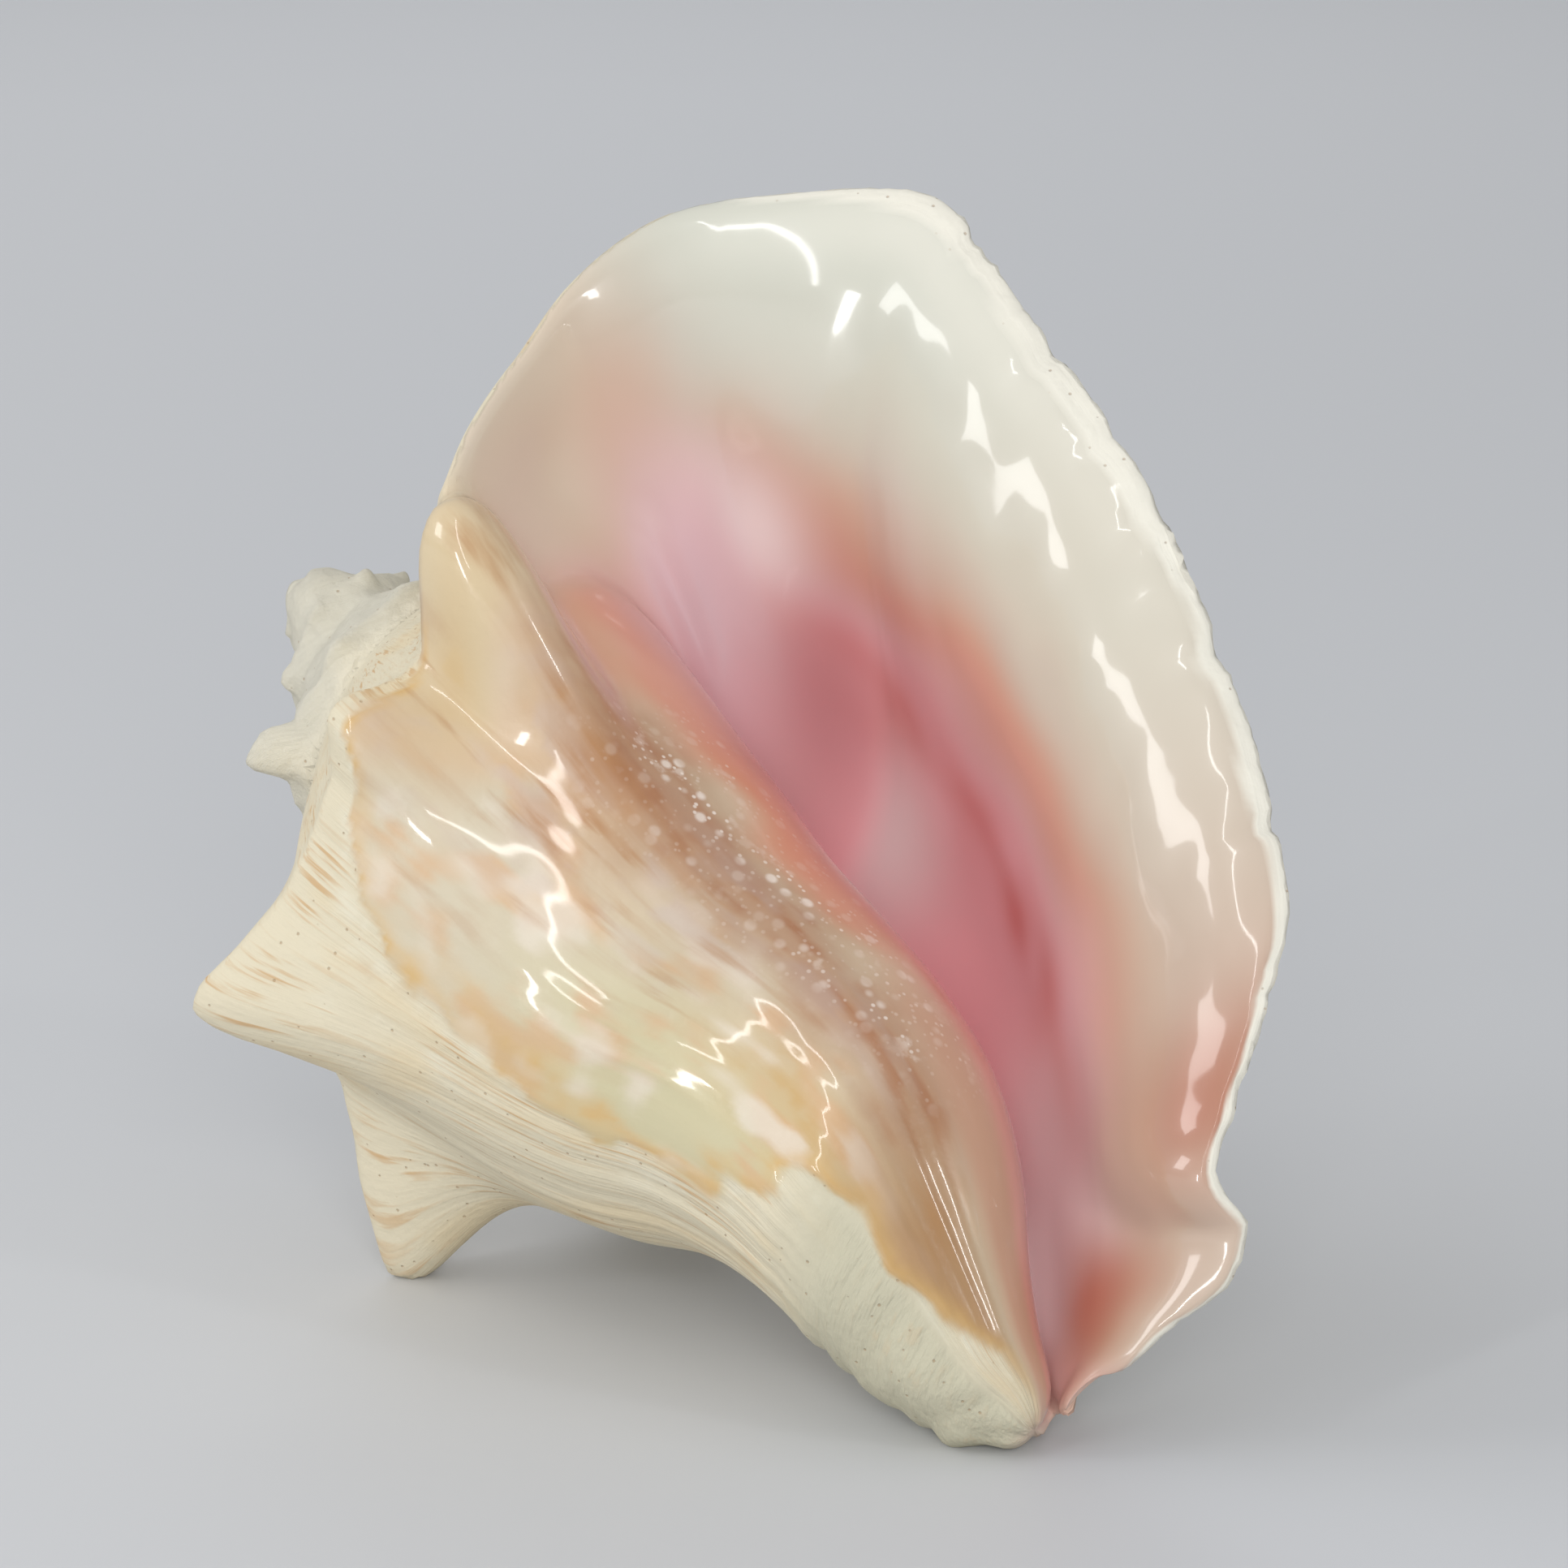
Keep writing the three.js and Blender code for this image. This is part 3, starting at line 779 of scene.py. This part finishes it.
# %% Single forms
RELIEF_CLEAR = 0.003
SEAM_REACH, SEAM_STEPS = 0.0025, 30
DISH_DEPTH, TONGUE_HEIGHT = 1.6, 1.3
STUBS = [  # place in the shell's own axes, length, width, squareness, way that it stands out
    ((-22, -19, 180), 5, 5, 8, (-1, 0, 0.15)),
    ((0, -9, 204), 5, 7, 4, (-0.6, 0, 0.8)),
]


def move_to(points):
    shell.data.vertices.foreach_set("co", np.ascontiguousarray(points).ravel())
    shell.data.update()


dish = hill(np.hypot((along - 0.8) / 0.09, (level - 1.78) / 0.11), 1)
tongue = hill(level - 1.6, 0.05) * rise(along, 0.36, 0.48) * fall(along, 0.6, 0.7)
relief += lip_inside * (TONGUE_HEIGHT * tongue - DISH_DEPTH * dish)
relief *= 1 - hill(near_join, RELIEF_CLEAR)
stubs = np.zeros_like(own)
for stub_at, length, width, squareness, way in STUBS:
    far = np.linalg.norm(own - np.array(stub_at), axis=1) / width
    stubs += (on_spire * length * np.exp(-(far**squareness)))[:, None] * np.array(way)
move_to(places() + (normals() * relief[:, None] + stubs) * MM)
melt("seams", hill(near_join, SEAM_REACH), SEAM_STEPS)
print("relief with the single forms from %.2f to %.2f mm" % (relief.min(), relief.max()))

# %% [markdown]
# The feet are worn flat where the shell stands: every point below the floor is lifted to it.

# %% Wear the feet
worn = places()
print("lowest point %.4f m" % worn[:, 2].min())
worn[:, 2] = np.maximum(worn[:, 2], 0)
move_to(worn)

# %% [markdown]
# The soft colour zones are painted on the points, as a vertex painter would: each zone is a named
# colour and a mask, laid over what is there. Levels, turns and places along the lip say where a
# mask rises and falls. The shader adds what is finer than the mesh. The chalk comes first.

# %% Paint the chalk
def colour(red, green, blue):
    """Linear colour from the 0 to 255 numbers that a colour picker shows."""
    c = np.array([red, green, blue]) / 255
    return np.where(c <= 0.04045, c / 12.92, ((c + 0.055) / 1.055) ** 2.4)


CHALK = colour(220, 210, 184)
CHALK_WARM = colour(222, 204, 168)
CHALK_WHITE = colour(230, 226, 208)
SPIRE_GREY = colour(218, 213, 196)
FASCIOLE_IVORY = colour(197, 192, 168)

tint = np.tile(CHALK, (len(turn), 1))


def paint(pigment, mask):
    tint[:] = tint + (pigment - tint) * np.clip(mask, 0, 1)[:, None]


def clouds(size, seed, cover):
    """Cloudy cover from 0 to 1: the higher cover is, the more of the surface the clouds take."""
    puffs = 0.8 * swell(stretched(1, 0.45), size, seed) + 0.45 * swell(own, size * 0.5, seed + 1)
    puffs += 0.2 * swell(stretched(1, 0.3), size * 0.25, seed + 2)
    return ease((puffs + cover + 0.2) / 1.6)


paint(SPIRE_GREY, on_spire)
paint(CHALK_WARM, chalk_whorl * clouds(26, 61, -0.2) * 0.6)
paint(CHALK_WHITE, chalk_whorl * hill(inside_margin + 7, 6) * clouds(9, 64, 0) * 0.4)
paint(FASCIOLE_IVORY, fasciole * (1 - callus))
print("chalk painted, mean tint", tint.mean(0).round(3))

# %% [markdown]
# The callus is cream with gold, peach and lilac clouds, and toward the opening it darkens to
# caramel. An image texture could hold such clouds, but random swells stretched along the growth
# make them without any picture.

# %% Paint the callus
CALLUS_CREAM = colour(210, 198, 172)
CALLUS_YELLOW = colour(207, 198, 160)
CALLUS_GOLD = colour(203, 169, 114)
CALLUS_PEACH = colour(213, 174, 132)
CALLUS_PALE = colour(228, 217, 199)
CALLUS_TAN = colour(213, 181, 143)
CALLUS_LILAC = colour(204, 188, 180)
CALLUS_GREY = colour(180, 150, 133)
CARAMEL = colour(168, 116, 80)
SPINE_YELLOW = colour(216, 197, 160)

drift = swell(own, 18, 31)
inner = callus * rise(turn, 44, 66)
paint(CALLUS_CREAM, callus)
paint(CALLUS_YELLOW, callus * fall(level, 0.55, 0.8) * rise(turn, 80, 120))
gold_patch = hill(turn - 100, 16) * hill(level - 0.36, 0.13)
paint(CALLUS_GOLD, callus * gold_patch * (0.65 + 0.35 * clouds(9, 38, 0.2)))
paint(CALLUS_PEACH, inner * clouds(15, 41, -0.1) * 0.75)
paint(CALLUS_PALE, inner * clouds(17, 44, -0.35) * 0.75)
paint(CALLUS_TAN, inner * fall(turn - 8 * drift, 72, 112) * rise(level, 0.5, 0.8) * 0.75)
lilac_band = hill(turn - 80, 24) * rise(level, 0.42, 0.62)
paint(CALLUS_LILAC, inner * lilac_band * clouds(10, 47, -0.1) * 0.4)
caramel_width = 20 + 7 * hill(level - 0.3, 0.15)
caramel_band = hill(turn - 60 + 4 * drift, caramel_width) * rise(level, 0.15, 0.27)
paint(CARAMEL, callus * caramel_band * fall(level, 0.74, 0.86) * (0.75 + 0.25 * clouds(9, 50, 0.1)))
grey_band = hill(turn - 62 + 5 * drift, 13) * hill(level - 0.5, 0.2)
paint(CALLUS_GREY, callus * grey_band * clouds(12, 53, 0.3) * 0.8)
upper_band = hill(turn - 55, 12) * hill(level - 0.82, 0.15)
paint(CARAMEL, callus * upper_band * (0.5 + 0.3 * clouds(9, 59, 0)))
paint(SPINE_YELLOW, callus * rise(level, 0.86, 0.92) * hill(turn - 73, 15))
paint(CALLUS_GOLD, callus * hill(level - 0.94, 0.04) * hill(turn - 79, 11) * 0.5)
print("callus painted, mean tint", tint[callus > 0.5].mean(0).round(3))

# %% [markdown]
# Beside the opening the callus ends in an orange and peach rim. A line of amber follows its outer
# margin, where the glaze is thickest, and near the canal it is torn and shows an older, darker
# layer. The distance from the margin, worked out above, places the line and the torn part.

# %% Paint the rim and the margin of the callus
RIM_ORANGE = colour(216, 150, 122)
RIM_LOW = colour(192, 152, 128)
RIM_PEACH = colour(212, 156, 142)
AMBER = colour(214, 178, 118)
TORN_AMBER = colour(162, 116, 66)
TORN_GOLD = colour(204, 166, 104)
SHELF_LILAC = colour(226, 192, 198)
ROSE = colour(249, 188, 192)

paint(RIM_ORANGE, callus * fall(turn - 3 * drift, 30, 50) * rise(level, 0.3, 0.6))
upper_rim = hill(turn - 46, 7) * rise(level, 0.78, 0.88) * fall(level, 1.02, 1.08)
paint(RIM_ORANGE, callus * upper_rim * 0.6)
paint(RIM_LOW, callus * fall(turn, 40, 60) * fall(level, 0.3, 0.5))
paint(RIM_PEACH, callus * fall(turn, 14, 30))
amber_line = hill(inside_margin - 4, 6) * rise(level, 0.2, 0.3)
paint(AMBER, callus * amber_line * (0.5 + 0.5 * clouds(10, 56, 0.2)))
torn = callus * rise(turn, 42, 72) * fall(level, 0.17, 0.34)
paint(TORN_AMBER, torn * 0.85)
paint(TORN_GOLD, torn * hill(inside_margin, 9) * 0.8)
paint(SHELF_LILAC, callus * rise(level, 0.98, 1.04) * fall(turn, 42, 56))
paint(ROSE, callus * fall(turn, -16, 2))
print("torn points", int((torn > 0.5).sum()))

# %% [markdown]
# The lip is ivory at its spread end and turns pink toward the throat, over a band of orange. Where
# the pink has faded to cream is given at each level, and every other colour is placed by its
# depth from there.

# %% Paint the lip
LIP_CREAM = colour(210, 203, 186)
LIP_IVORY = colour(208, 208, 194)
LIP_BEIGE = colour(218, 201, 179)
LIP_ROSE = colour(201, 177, 157)
PEACH = colour(216, 182, 157)
ORANGE_BAND = colour(220, 164, 137)
PINK = colour(234, 190, 192)
ROSE_RED = colour(228, 142, 138)
CREAM_FROM = [  # level, place along the lip where the pink has faded to cream
    (0, 0.9), (0.2, 0.74), (0.33, 0.72), (0.45, 0.76), (0.6, 0.73), (0.75, 0.7), (0.9, 0.66),
    (1.1, 0.64), (1.3, 0.74), (1.5, 0.82), (1.7, 0.76), (2, 0.7),
]


def spot(centre_along, centre_level, along_size, level_size):
    """Soft round mask on the inside of the lip."""
    x = (along - centre_along) / along_size
    y = (level - centre_level) / level_size
    return lip_inside * np.exp(-(x**2 + y**2))


depth = along / through(level, *zip(*CREAM_FROM)) + 0.04 * swell(own, 30, 32)
heart = rise(level, 0.3, 0.55) * fall(level, 1.15, 1.45)
paint(LIP_CREAM, lip_inside)
paint(LIP_IVORY, lip_inside * rise(level, 0.8, 1.05) * rise(along, 0.62, 0.87))
paint(LIP_BEIGE, lip_inside * rise(level, 1.4, 1.65))
paint(PEACH, spot(0.8, 1.56, 0.12, 0.14) * 0.8)
paint(ORANGE_BAND, lip_inside * hill(depth - 0.88, 0.13) * (0.25 + 0.75 * heart))
paint(PINK, lip_inside * fall(depth, 0.68, 0.98))
paint(ROSE, lip_inside * fall(depth, 0.6, 0.88) * heart)
paint(ROSE_RED, lip_inside * hill(depth - 0.62, 0.1) * heart * (0.6 + 0.3 * drift))
print("lip painted, mean tint", tint[lip_inside].mean(0).round(3))

# %% [markdown]
# Single soft spots do the rest: painted shade that darkens the rose in the deepest hollow of the
# throat, painted light laid as pale pink where the deep throat lies in shade, a pale pink spot
# higher on the lip, brown at the canal and at the notch. A table of them is easier to tune than one
# line for each. The worn edge is laid last, because wear takes off every colour.

# %% Paint the spots and the edge of the lip
# Rose darkened as painted shade, for the deepest hollow of the throat.
ROSE_WITH_PAINTED_SHADE = colour(190, 128, 130)
# Pale pink; in the deep throat it is painted light, laid where that part lies in shade.
PALE_PINK_AND_PAINTED_LIGHT = colour(250, 232, 230)
BROWN_PINK = colour(180, 122, 98)
CANAL_BROWN = colour(180, 122, 88)
CANAL_ROSE = colour(192, 112, 86)
EDGE_WHITE = colour(234, 230, 216)
PAINTED_SHADE_AND_LIGHT_SPOTS = [  # colour, place along the lip, level, size along the lip and in levels, strength
    # Painted shade: darker rose in the deepest hollow of the throat.
    (ROSE_WITH_PAINTED_SHADE, 0.38, 1.28, 0.2, 0.2, 0.75),
    # Painted light: two pale pink spots where the deep throat lies in shade.
    (PALE_PINK_AND_PAINTED_LIGHT, 0.22, 0.95, 0.14, 0.11, 1),
    (PALE_PINK_AND_PAINTED_LIGHT, 0.33, 0.42, 0.2, 0.13, 0.85),
]
LIP_SPOTS = [
    (PALE_PINK_AND_PAINTED_LIGHT, 0.6, 1.32, 0.09, 0.09, 0.8),
    (SHELF_LILAC, 0.5, 1.58, 0.2, 0.14, 1),
    (CANAL_BROWN, 0.6, 0.13, 0.24, 0.09, 0.75),
    (CANAL_ROSE, 0.56, 0.19, 0.2, 0.08, 0.85),
    (BROWN_PINK, 0.93, 0.44, 0.17, 0.09, 1),
]

for pigment, *size, strength in PAINTED_SHADE_AND_LIGHT_SPOTS:
    paint(pigment, spot(*size) * strength)
# Painted light: pale pink over the lowest part of the throat, which lies in shade.
paint(PALE_PINK_AND_PAINTED_LIGHT, lip_inside * fall(level, 0.26, 0.46) * fall(along, 0.5, 0.8) * 0.8)
paint(LIP_ROSE, spot(0.78, 0.36, 0.25, 0.2) * 0.8)
paint(LIP_ROSE, lip_inside * fall(level, 0.55, 0.8) * rise(along, 0.55, 0.75) * 0.7)
for pigment, *size, strength in LIP_SPOTS:
    paint(pigment, spot(*size) * strength)
paint(EDGE_WHITE, lip_inside * rise(along, 0.9, 0.96) * hill(level - 1.05, 0.25) * 0.5)
paint(EDGE_WHITE, edge)
paint(RIM_PEACH, on_lip * fall(level, 0.05, 0.15) * 0.6)
print("spots", len(PAINTED_SHADE_AND_LIGHT_SPOTS) + len(LIP_SPOTS), "worn edge points", int((edge > 0.5).sum()))

# %% [markdown]
# Colours meet hard at the joins of the skins, so tint and polish are evened out between neighbours
# there. Then both are kept on the mesh as attributes, where the shader can read them.

# %% Keep tint and polish
SEAM_BLEND = 0.004
BLEND_STEPS = 40


def even_out(values, weight, steps):
    """Mixes values between neighbouring points where the weight says."""
    first, second = ends.T
    count = np.bincount(first, minlength=len(values)) + np.bincount(second, minlength=len(values))
    for _ in range(steps):
        for column in values.T:
            total = np.bincount(first, column[second], len(column))
            total += np.bincount(second, column[first], len(column))
            column += weight * (total / count - column)


def keep(name, values):
    layer = shell.data.attributes.new(name, "FLOAT", "POINT")
    layer.data.foreach_set("value", np.clip(values, 0, 1).astype(np.float32))


even_out(tint, hill(near_join, SEAM_BLEND), BLEND_STEPS)
polish = polish[:, None].astype(float)
even_out(polish, hill(near_join, SEAM_BLEND) * (part != OUTSIDE_PART), BLEND_STEPS)
tint_layer = shell.data.attributes.new("tint", "FLOAT_COLOR", "POINT")
opaque = np.concatenate([tint, np.ones((len(tint), 1))], 1)
tint_layer.data.foreach_set("color", opaque.astype(np.float32).ravel())
keep("polish", polish[:, 0])
print("evened out", int((near_join < SEAM_BLEND).sum()), "points near the joins")

# %% [markdown]
# The marks finer than the mesh need to know where they may lie: streaks and specks on the callus,
# tan dashes on the chalk, a crust on the spire, ropes on the fasciole. Growth lines run across the
# whorl, and on the fasciole along it. Near the joins and where the two meet they are calm.

# %% Keep the masks
SLOW = 0.06
CALM_REACH = 0.0025

keep("callus", inner)
speckled = callus * hill(turn - 47, 21) * rise(level, 0.24, 0.34) * fall(level, 0.74, 0.84)
keep("speckle", speckled * (0.3 + 0.7 * clouds(14, 71, 0.1)))
streaked = inner * rise(level, 0.35, 0.65) * hill(turn - 80, 34)
keep("streak", streaked * (0.3 + 0.7 * clouds(16, 74, 0.3)))
striped = chalk_whorl * (1 - 0.8 * fasciole) + 0.5 * lip_outside
keep("striae", striped * (0.25 + 0.75 * clouds(24, 77, 0.1)))
keep("calm", np.maximum(hill(near_join, CALM_REACH), hill(fasciole - 0.5, 0.3)))
keep("crust", on_spire)
keep("rope", fasciole * (1 - callus))
across_part = np.rint(part) * PART_GAP
grown_lines = np.stack([turn, level * SIDE_LENGTH * SLOW, across_part], -1)
crossing_lines = np.stack([level * SIDE_LENGTH, turn * SLOW, across_part], -1)
lines = np.where(fasciole[:, None] > 0.5, crossing_lines, grown_lines)
for name, values in (("flow", flow), ("lines", lines)):
    vector_layer = shell.data.attributes.new(name, "FLOAT_VECTOR", "POINT")
    vector_layer.data.foreach_set("vector", values.astype(np.float32).ravel())
print("attributes", [layer.name for layer in shell.data.attributes if not layer.is_internal])

# %% [markdown]
# One material covers the shell, because its zones melt into each other. A short function for each
# kind of node keeps the recipe readable.

# %% Node helpers
finish = bpy.data.materials.new("grown shell")
finish.use_nodes = True
nodes, links = finish.node_tree.nodes, finish.node_tree.links
shader = nodes["Principled BSDF"]


def add(kind, **settings):
    node = nodes.new(kind)
    for name, value in settings.items():
        if hasattr(node, name):
            setattr(node, name, value)
        else:
            node.inputs[name.replace("_", " ")].default_value = value
    return node


def painted(name, output="Fac"):
    return add("ShaderNodeAttribute", attribute_name=name).outputs[output]


def math_node(operation, first, second):
    node = add("ShaderNodeMath", operation=operation)
    for socket, value in zip(node.inputs, (first, second)):
        if isinstance(value, (int, float)):
            socket.default_value = value
        else:
            links.new(value, socket)
    return node.outputs[0]


def times(first, second):
    return math_node("MULTIPLY", first, second)


def window(value, low, high):
    """0 below low, 1 above high, with low above high for the other way round."""
    node = add("ShaderNodeMapRange", interpolation_type="SMOOTHSTEP", From_Min=low, From_Max=high)
    links.new(value, node.inputs["Value"])
    return node.outputs["Result"]


def noise(where, scale, detail, stretch=(1, 1, 1)):
    """Cloudy pattern over the places given, at scale clouds per unit."""
    mapping = add("ShaderNodeMapping", vector_type="POINT")
    mapping.inputs["Scale"].default_value = stretch
    links.new(where, mapping.inputs["Vector"])
    node = add("ShaderNodeTexNoise", Scale=scale, Detail=detail)
    links.new(mapping.outputs["Vector"], node.inputs["Vector"])
    return node.outputs["Fac"]


def dots(where, scale, low, high):
    """Round dots at random places, low to high is their soft edge in cells."""
    node = add("ShaderNodeTexVoronoi", Scale=scale)
    links.new(where, node.inputs["Vector"])
    return window(node.outputs["Distance"], high, low)


def lay(ground, pigment, mask):
    """Lays a pigment over a ground where the mask says."""
    node = add("ShaderNodeMix", data_type="RGBA")
    links.new(mask, node.inputs["Factor"])
    links.new(ground, node.inputs["A"])
    node.inputs["B"].default_value = (*pigment, 1)
    return node.outputs["Result"]


print("material", finish.name)

# %% [markdown]
# The painted tint is the ground. On it lie the marks that are finer than the mesh: brown streaks in
# the callus, whitish round specks and smears near the rim, tan dashes along the whorls on the
# chalk, and pores. Noise gives the clouds and lines, Voronoi cells give the dots.

# %% Colour of the shell
STREAK_BROWN = colour(176, 124, 74)
SPECK_WHITE = colour(236, 222, 210)
DASH_TAN = colour(202, 166, 120)
PORE_BROWN = colour(168, 130, 88)

where = add("ShaderNodeTexCoord").outputs["Object"]
polish_mask = painted("polish")
chalk_mask = math_node("SUBTRACT", 1.0, polish_mask)
ground = painted("tint", "Color")
streaks = noise(painted("flow", "Vector"), scale=0.22, detail=4, stretch=(1, 0.2, 1))
streaks = window(streaks, low=0.47, high=0.68)
streaks = times(streaks, painted("streak"))
ground = lay(ground, STREAK_BROWN, times(streaks, 0.75))
big_specks = dots(where, scale=240, low=0.16, high=0.34)
small_specks = dots(where, scale=620, low=0.14, high=0.3)
smears = times(window(noise(where, scale=190, detail=4), low=0.6, high=0.7), 0.6)
specks = math_node("MAXIMUM", smears, math_node("MAXIMUM", big_specks, small_specks))
specks = times(specks, painted("speckle"))
ground = lay(ground, SPECK_WHITE, times(specks, 0.9))
lively = math_node("SUBTRACT", 1.0, painted("calm"))
growth_lines = times(noise(painted("lines", "Vector"), scale=0.9, detail=3), lively)
dashes = times(window(growth_lines, low=0.48, high=0.62), painted("striae"))
ground = lay(ground, DASH_TAN, times(dashes, 0.85))
pores = times(dots(where, scale=330, low=0.05, high=0.11), chalk_mask)
ground = lay(ground, PORE_BROWN, times(pores, 0.5))
links.new(ground, shader.inputs["Base Color"])
print("nodes for the colour", len(nodes))

# %% [markdown]
# The polish mark turns the matt chalk into a clear glaze, which is a coat over a half-gloss ground.
# Bump adds the grain, the growth lines, the pores and the spire's crust. They are too fine for the
# mesh, and everything larger is in the mesh already.

# %% Gloss and grain of the shell
CHALK_ROUGHNESS, GLAZE_ROUGHNESS, COAT_ROUGHNESS = 0.75, 0.3, 0.07
GRAIN, CRUST, ROPE, GLAZE_GRAIN = 0.7, 7.0, 2.0, 0.3
BUMP_STRENGTH, BUMP_HEIGHT = 0.5, 0.0006

rough = add("ShaderNodeMapRange", To_Min=CHALK_ROUGHNESS, To_Max=GLAZE_ROUGHNESS)
links.new(polish_mask, rough.inputs["Value"])
links.new(rough.outputs["Result"], shader.inputs["Roughness"])
links.new(polish_mask, shader.inputs["Coat Weight"])
shader.inputs["Coat Roughness"].default_value = COAT_ROUGHNESS

grain = noise(where, scale=520, detail=2)
chalk_height = math_node("ADD", growth_lines, times(grain, GRAIN))
crust = times(noise(where, scale=210, detail=6), painted("crust"))
chalk_height = math_node("ADD", chalk_height, times(crust, CRUST))
rope = times(growth_lines, painted("rope"))
chalk_height = math_node("ADD", chalk_height, times(rope, ROPE))
chalk_height = times(math_node("SUBTRACT", chalk_height, pores), chalk_mask)
glaze_height = times(times(grain, painted("callus")), GLAZE_GRAIN)
bump = add("ShaderNodeBump", Strength=BUMP_STRENGTH, Distance=BUMP_HEIGHT)
links.new(math_node("ADD", chalk_height, glaze_height), bump.inputs["Height"])
links.new(bump.outputs["Normal"], shader.inputs["Normal"])
print("nodes in all", len(nodes))

# %% [markdown]
# The finished shell takes the place of the plain solid and rides on the frame's only body.

# %% Put the shell in the frame
shell.data.materials.clear()
shell.data.materials.append(finish)
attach(shell, "root")
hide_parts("shell")
print(shell.name, len(shell.data.vertices), "points", len(shell.data.polygons), "faces")

# %% [markdown]
# The floor is a plain pale sheet, and the camera looks from where the photo was taken: a little
# above the shell, from about a metre away.

# %% Floor and camera
FLOOR_SIZE = 24.0
FLOOR_GREY, FLOOR_ROUGHNESS = (0.62, 0.63, 0.645, 1), 0.6
CAMERA_AT = Vector((0.00956, -0.99990, 0.37986))
CAMERA_DIPS = math.radians(16)
LENS, SENSOR, FARTHEST = 143.48, 36, 20

bpy.ops.mesh.primitive_plane_add(size=FLOOR_SIZE)
floor = bpy.context.object
floor.name = "floor"
floor_finish = bpy.data.materials.new("pale floor")
floor_finish.use_nodes = True
floor_shader = floor_finish.node_tree.nodes["Principled BSDF"]
floor_shader.inputs["Base Color"].default_value = FLOOR_GREY
floor_shader.inputs["Roughness"].default_value = FLOOR_ROUGHNESS
floor.data.materials.append(floor_finish)

bpy.ops.object.camera_add(location=CAMERA_AT, rotation=(math.pi / 2 - CAMERA_DIPS, 0, 0))
camera = bpy.context.object
camera.data.sensor_width = SENSOR
camera.data.lens = LENS
camera.data.clip_end = FARTHEST
bpy.context.scene.camera = camera
print("camera %.2f m from the shell's foot" % CAMERA_AT.length)

# %% [markdown]
# A glossy shell shows its lights, so they are few and plain: a strip and three windows give the
# highlights, and large sheets that don't show in the gloss fill the shade. Each is set by the
# angles and the distance at which it stands around the shell.

# %% Lights
LOOK_AT = Vector((0, 0, 0.09))
LIGHTS = [  # name, turn from the front to the left, height, distance, width, tall, power
    ("strip", 38, 34, 1.3, 0.035, 1.3, 1.7),
    ("low window", 50, 1, 1.6, 0.07, 0.4, 1.7),
    ("window", 76, 18, 1.6, 0.34, 0.5, 2.6),
    ("right window", -56, 22, 1.6, 0.1, 0.35, 2),
    ("front", -2, 21, 1.9, 0.8, 0.6, 14.5),
    ("left sheet", 100, 30, 1.7, 1.4, 1.4, 6.5),
    ("ceiling", 10, 80, 1.6, 1.6, 1.6, 3),
    ("back", 175, 30, 1.8, 1.2, 1.0, 5),
]
SEEN_IN_GLOSS = ("strip", "low window", "window", "right window")
SKY_COLOUR, SKY_STRENGTH = (0.94, 0.96, 1, 1), 0.42

world = bpy.data.worlds.new("studio")
world.use_nodes = True
sky = world.node_tree.nodes["Background"]
sky.inputs["Color"].default_value = SKY_COLOUR
sky.inputs["Strength"].default_value = SKY_STRENGTH
bpy.context.scene.world = world
for name, turn_left, height, distance, width, tall, power in LIGHTS:
    heading, up = math.radians(turn_left), math.radians(height)
    away = Vector((-math.sin(heading) * math.cos(up), -math.cos(heading) * math.cos(up), math.sin(up)))
    bpy.ops.object.light_add(type="AREA", location=LOOK_AT + away * distance)
    lamp = bpy.context.object
    lamp.name = name
    lamp.data.shape = "RECTANGLE"
    lamp.data.size, lamp.data.size_y = width, tall
    lamp.data.energy = power
    lamp.visible_glossy = name in SEEN_IN_GLOSS
    lamp.rotation_euler = (-away).to_track_quat("-Z", "Y").to_euler()
bpy.context.scene.view_settings.view_transform = "Standard"
print("lights", len(LIGHTS), "power %.1f W" % sum(light[-1] for light in LIGHTS))
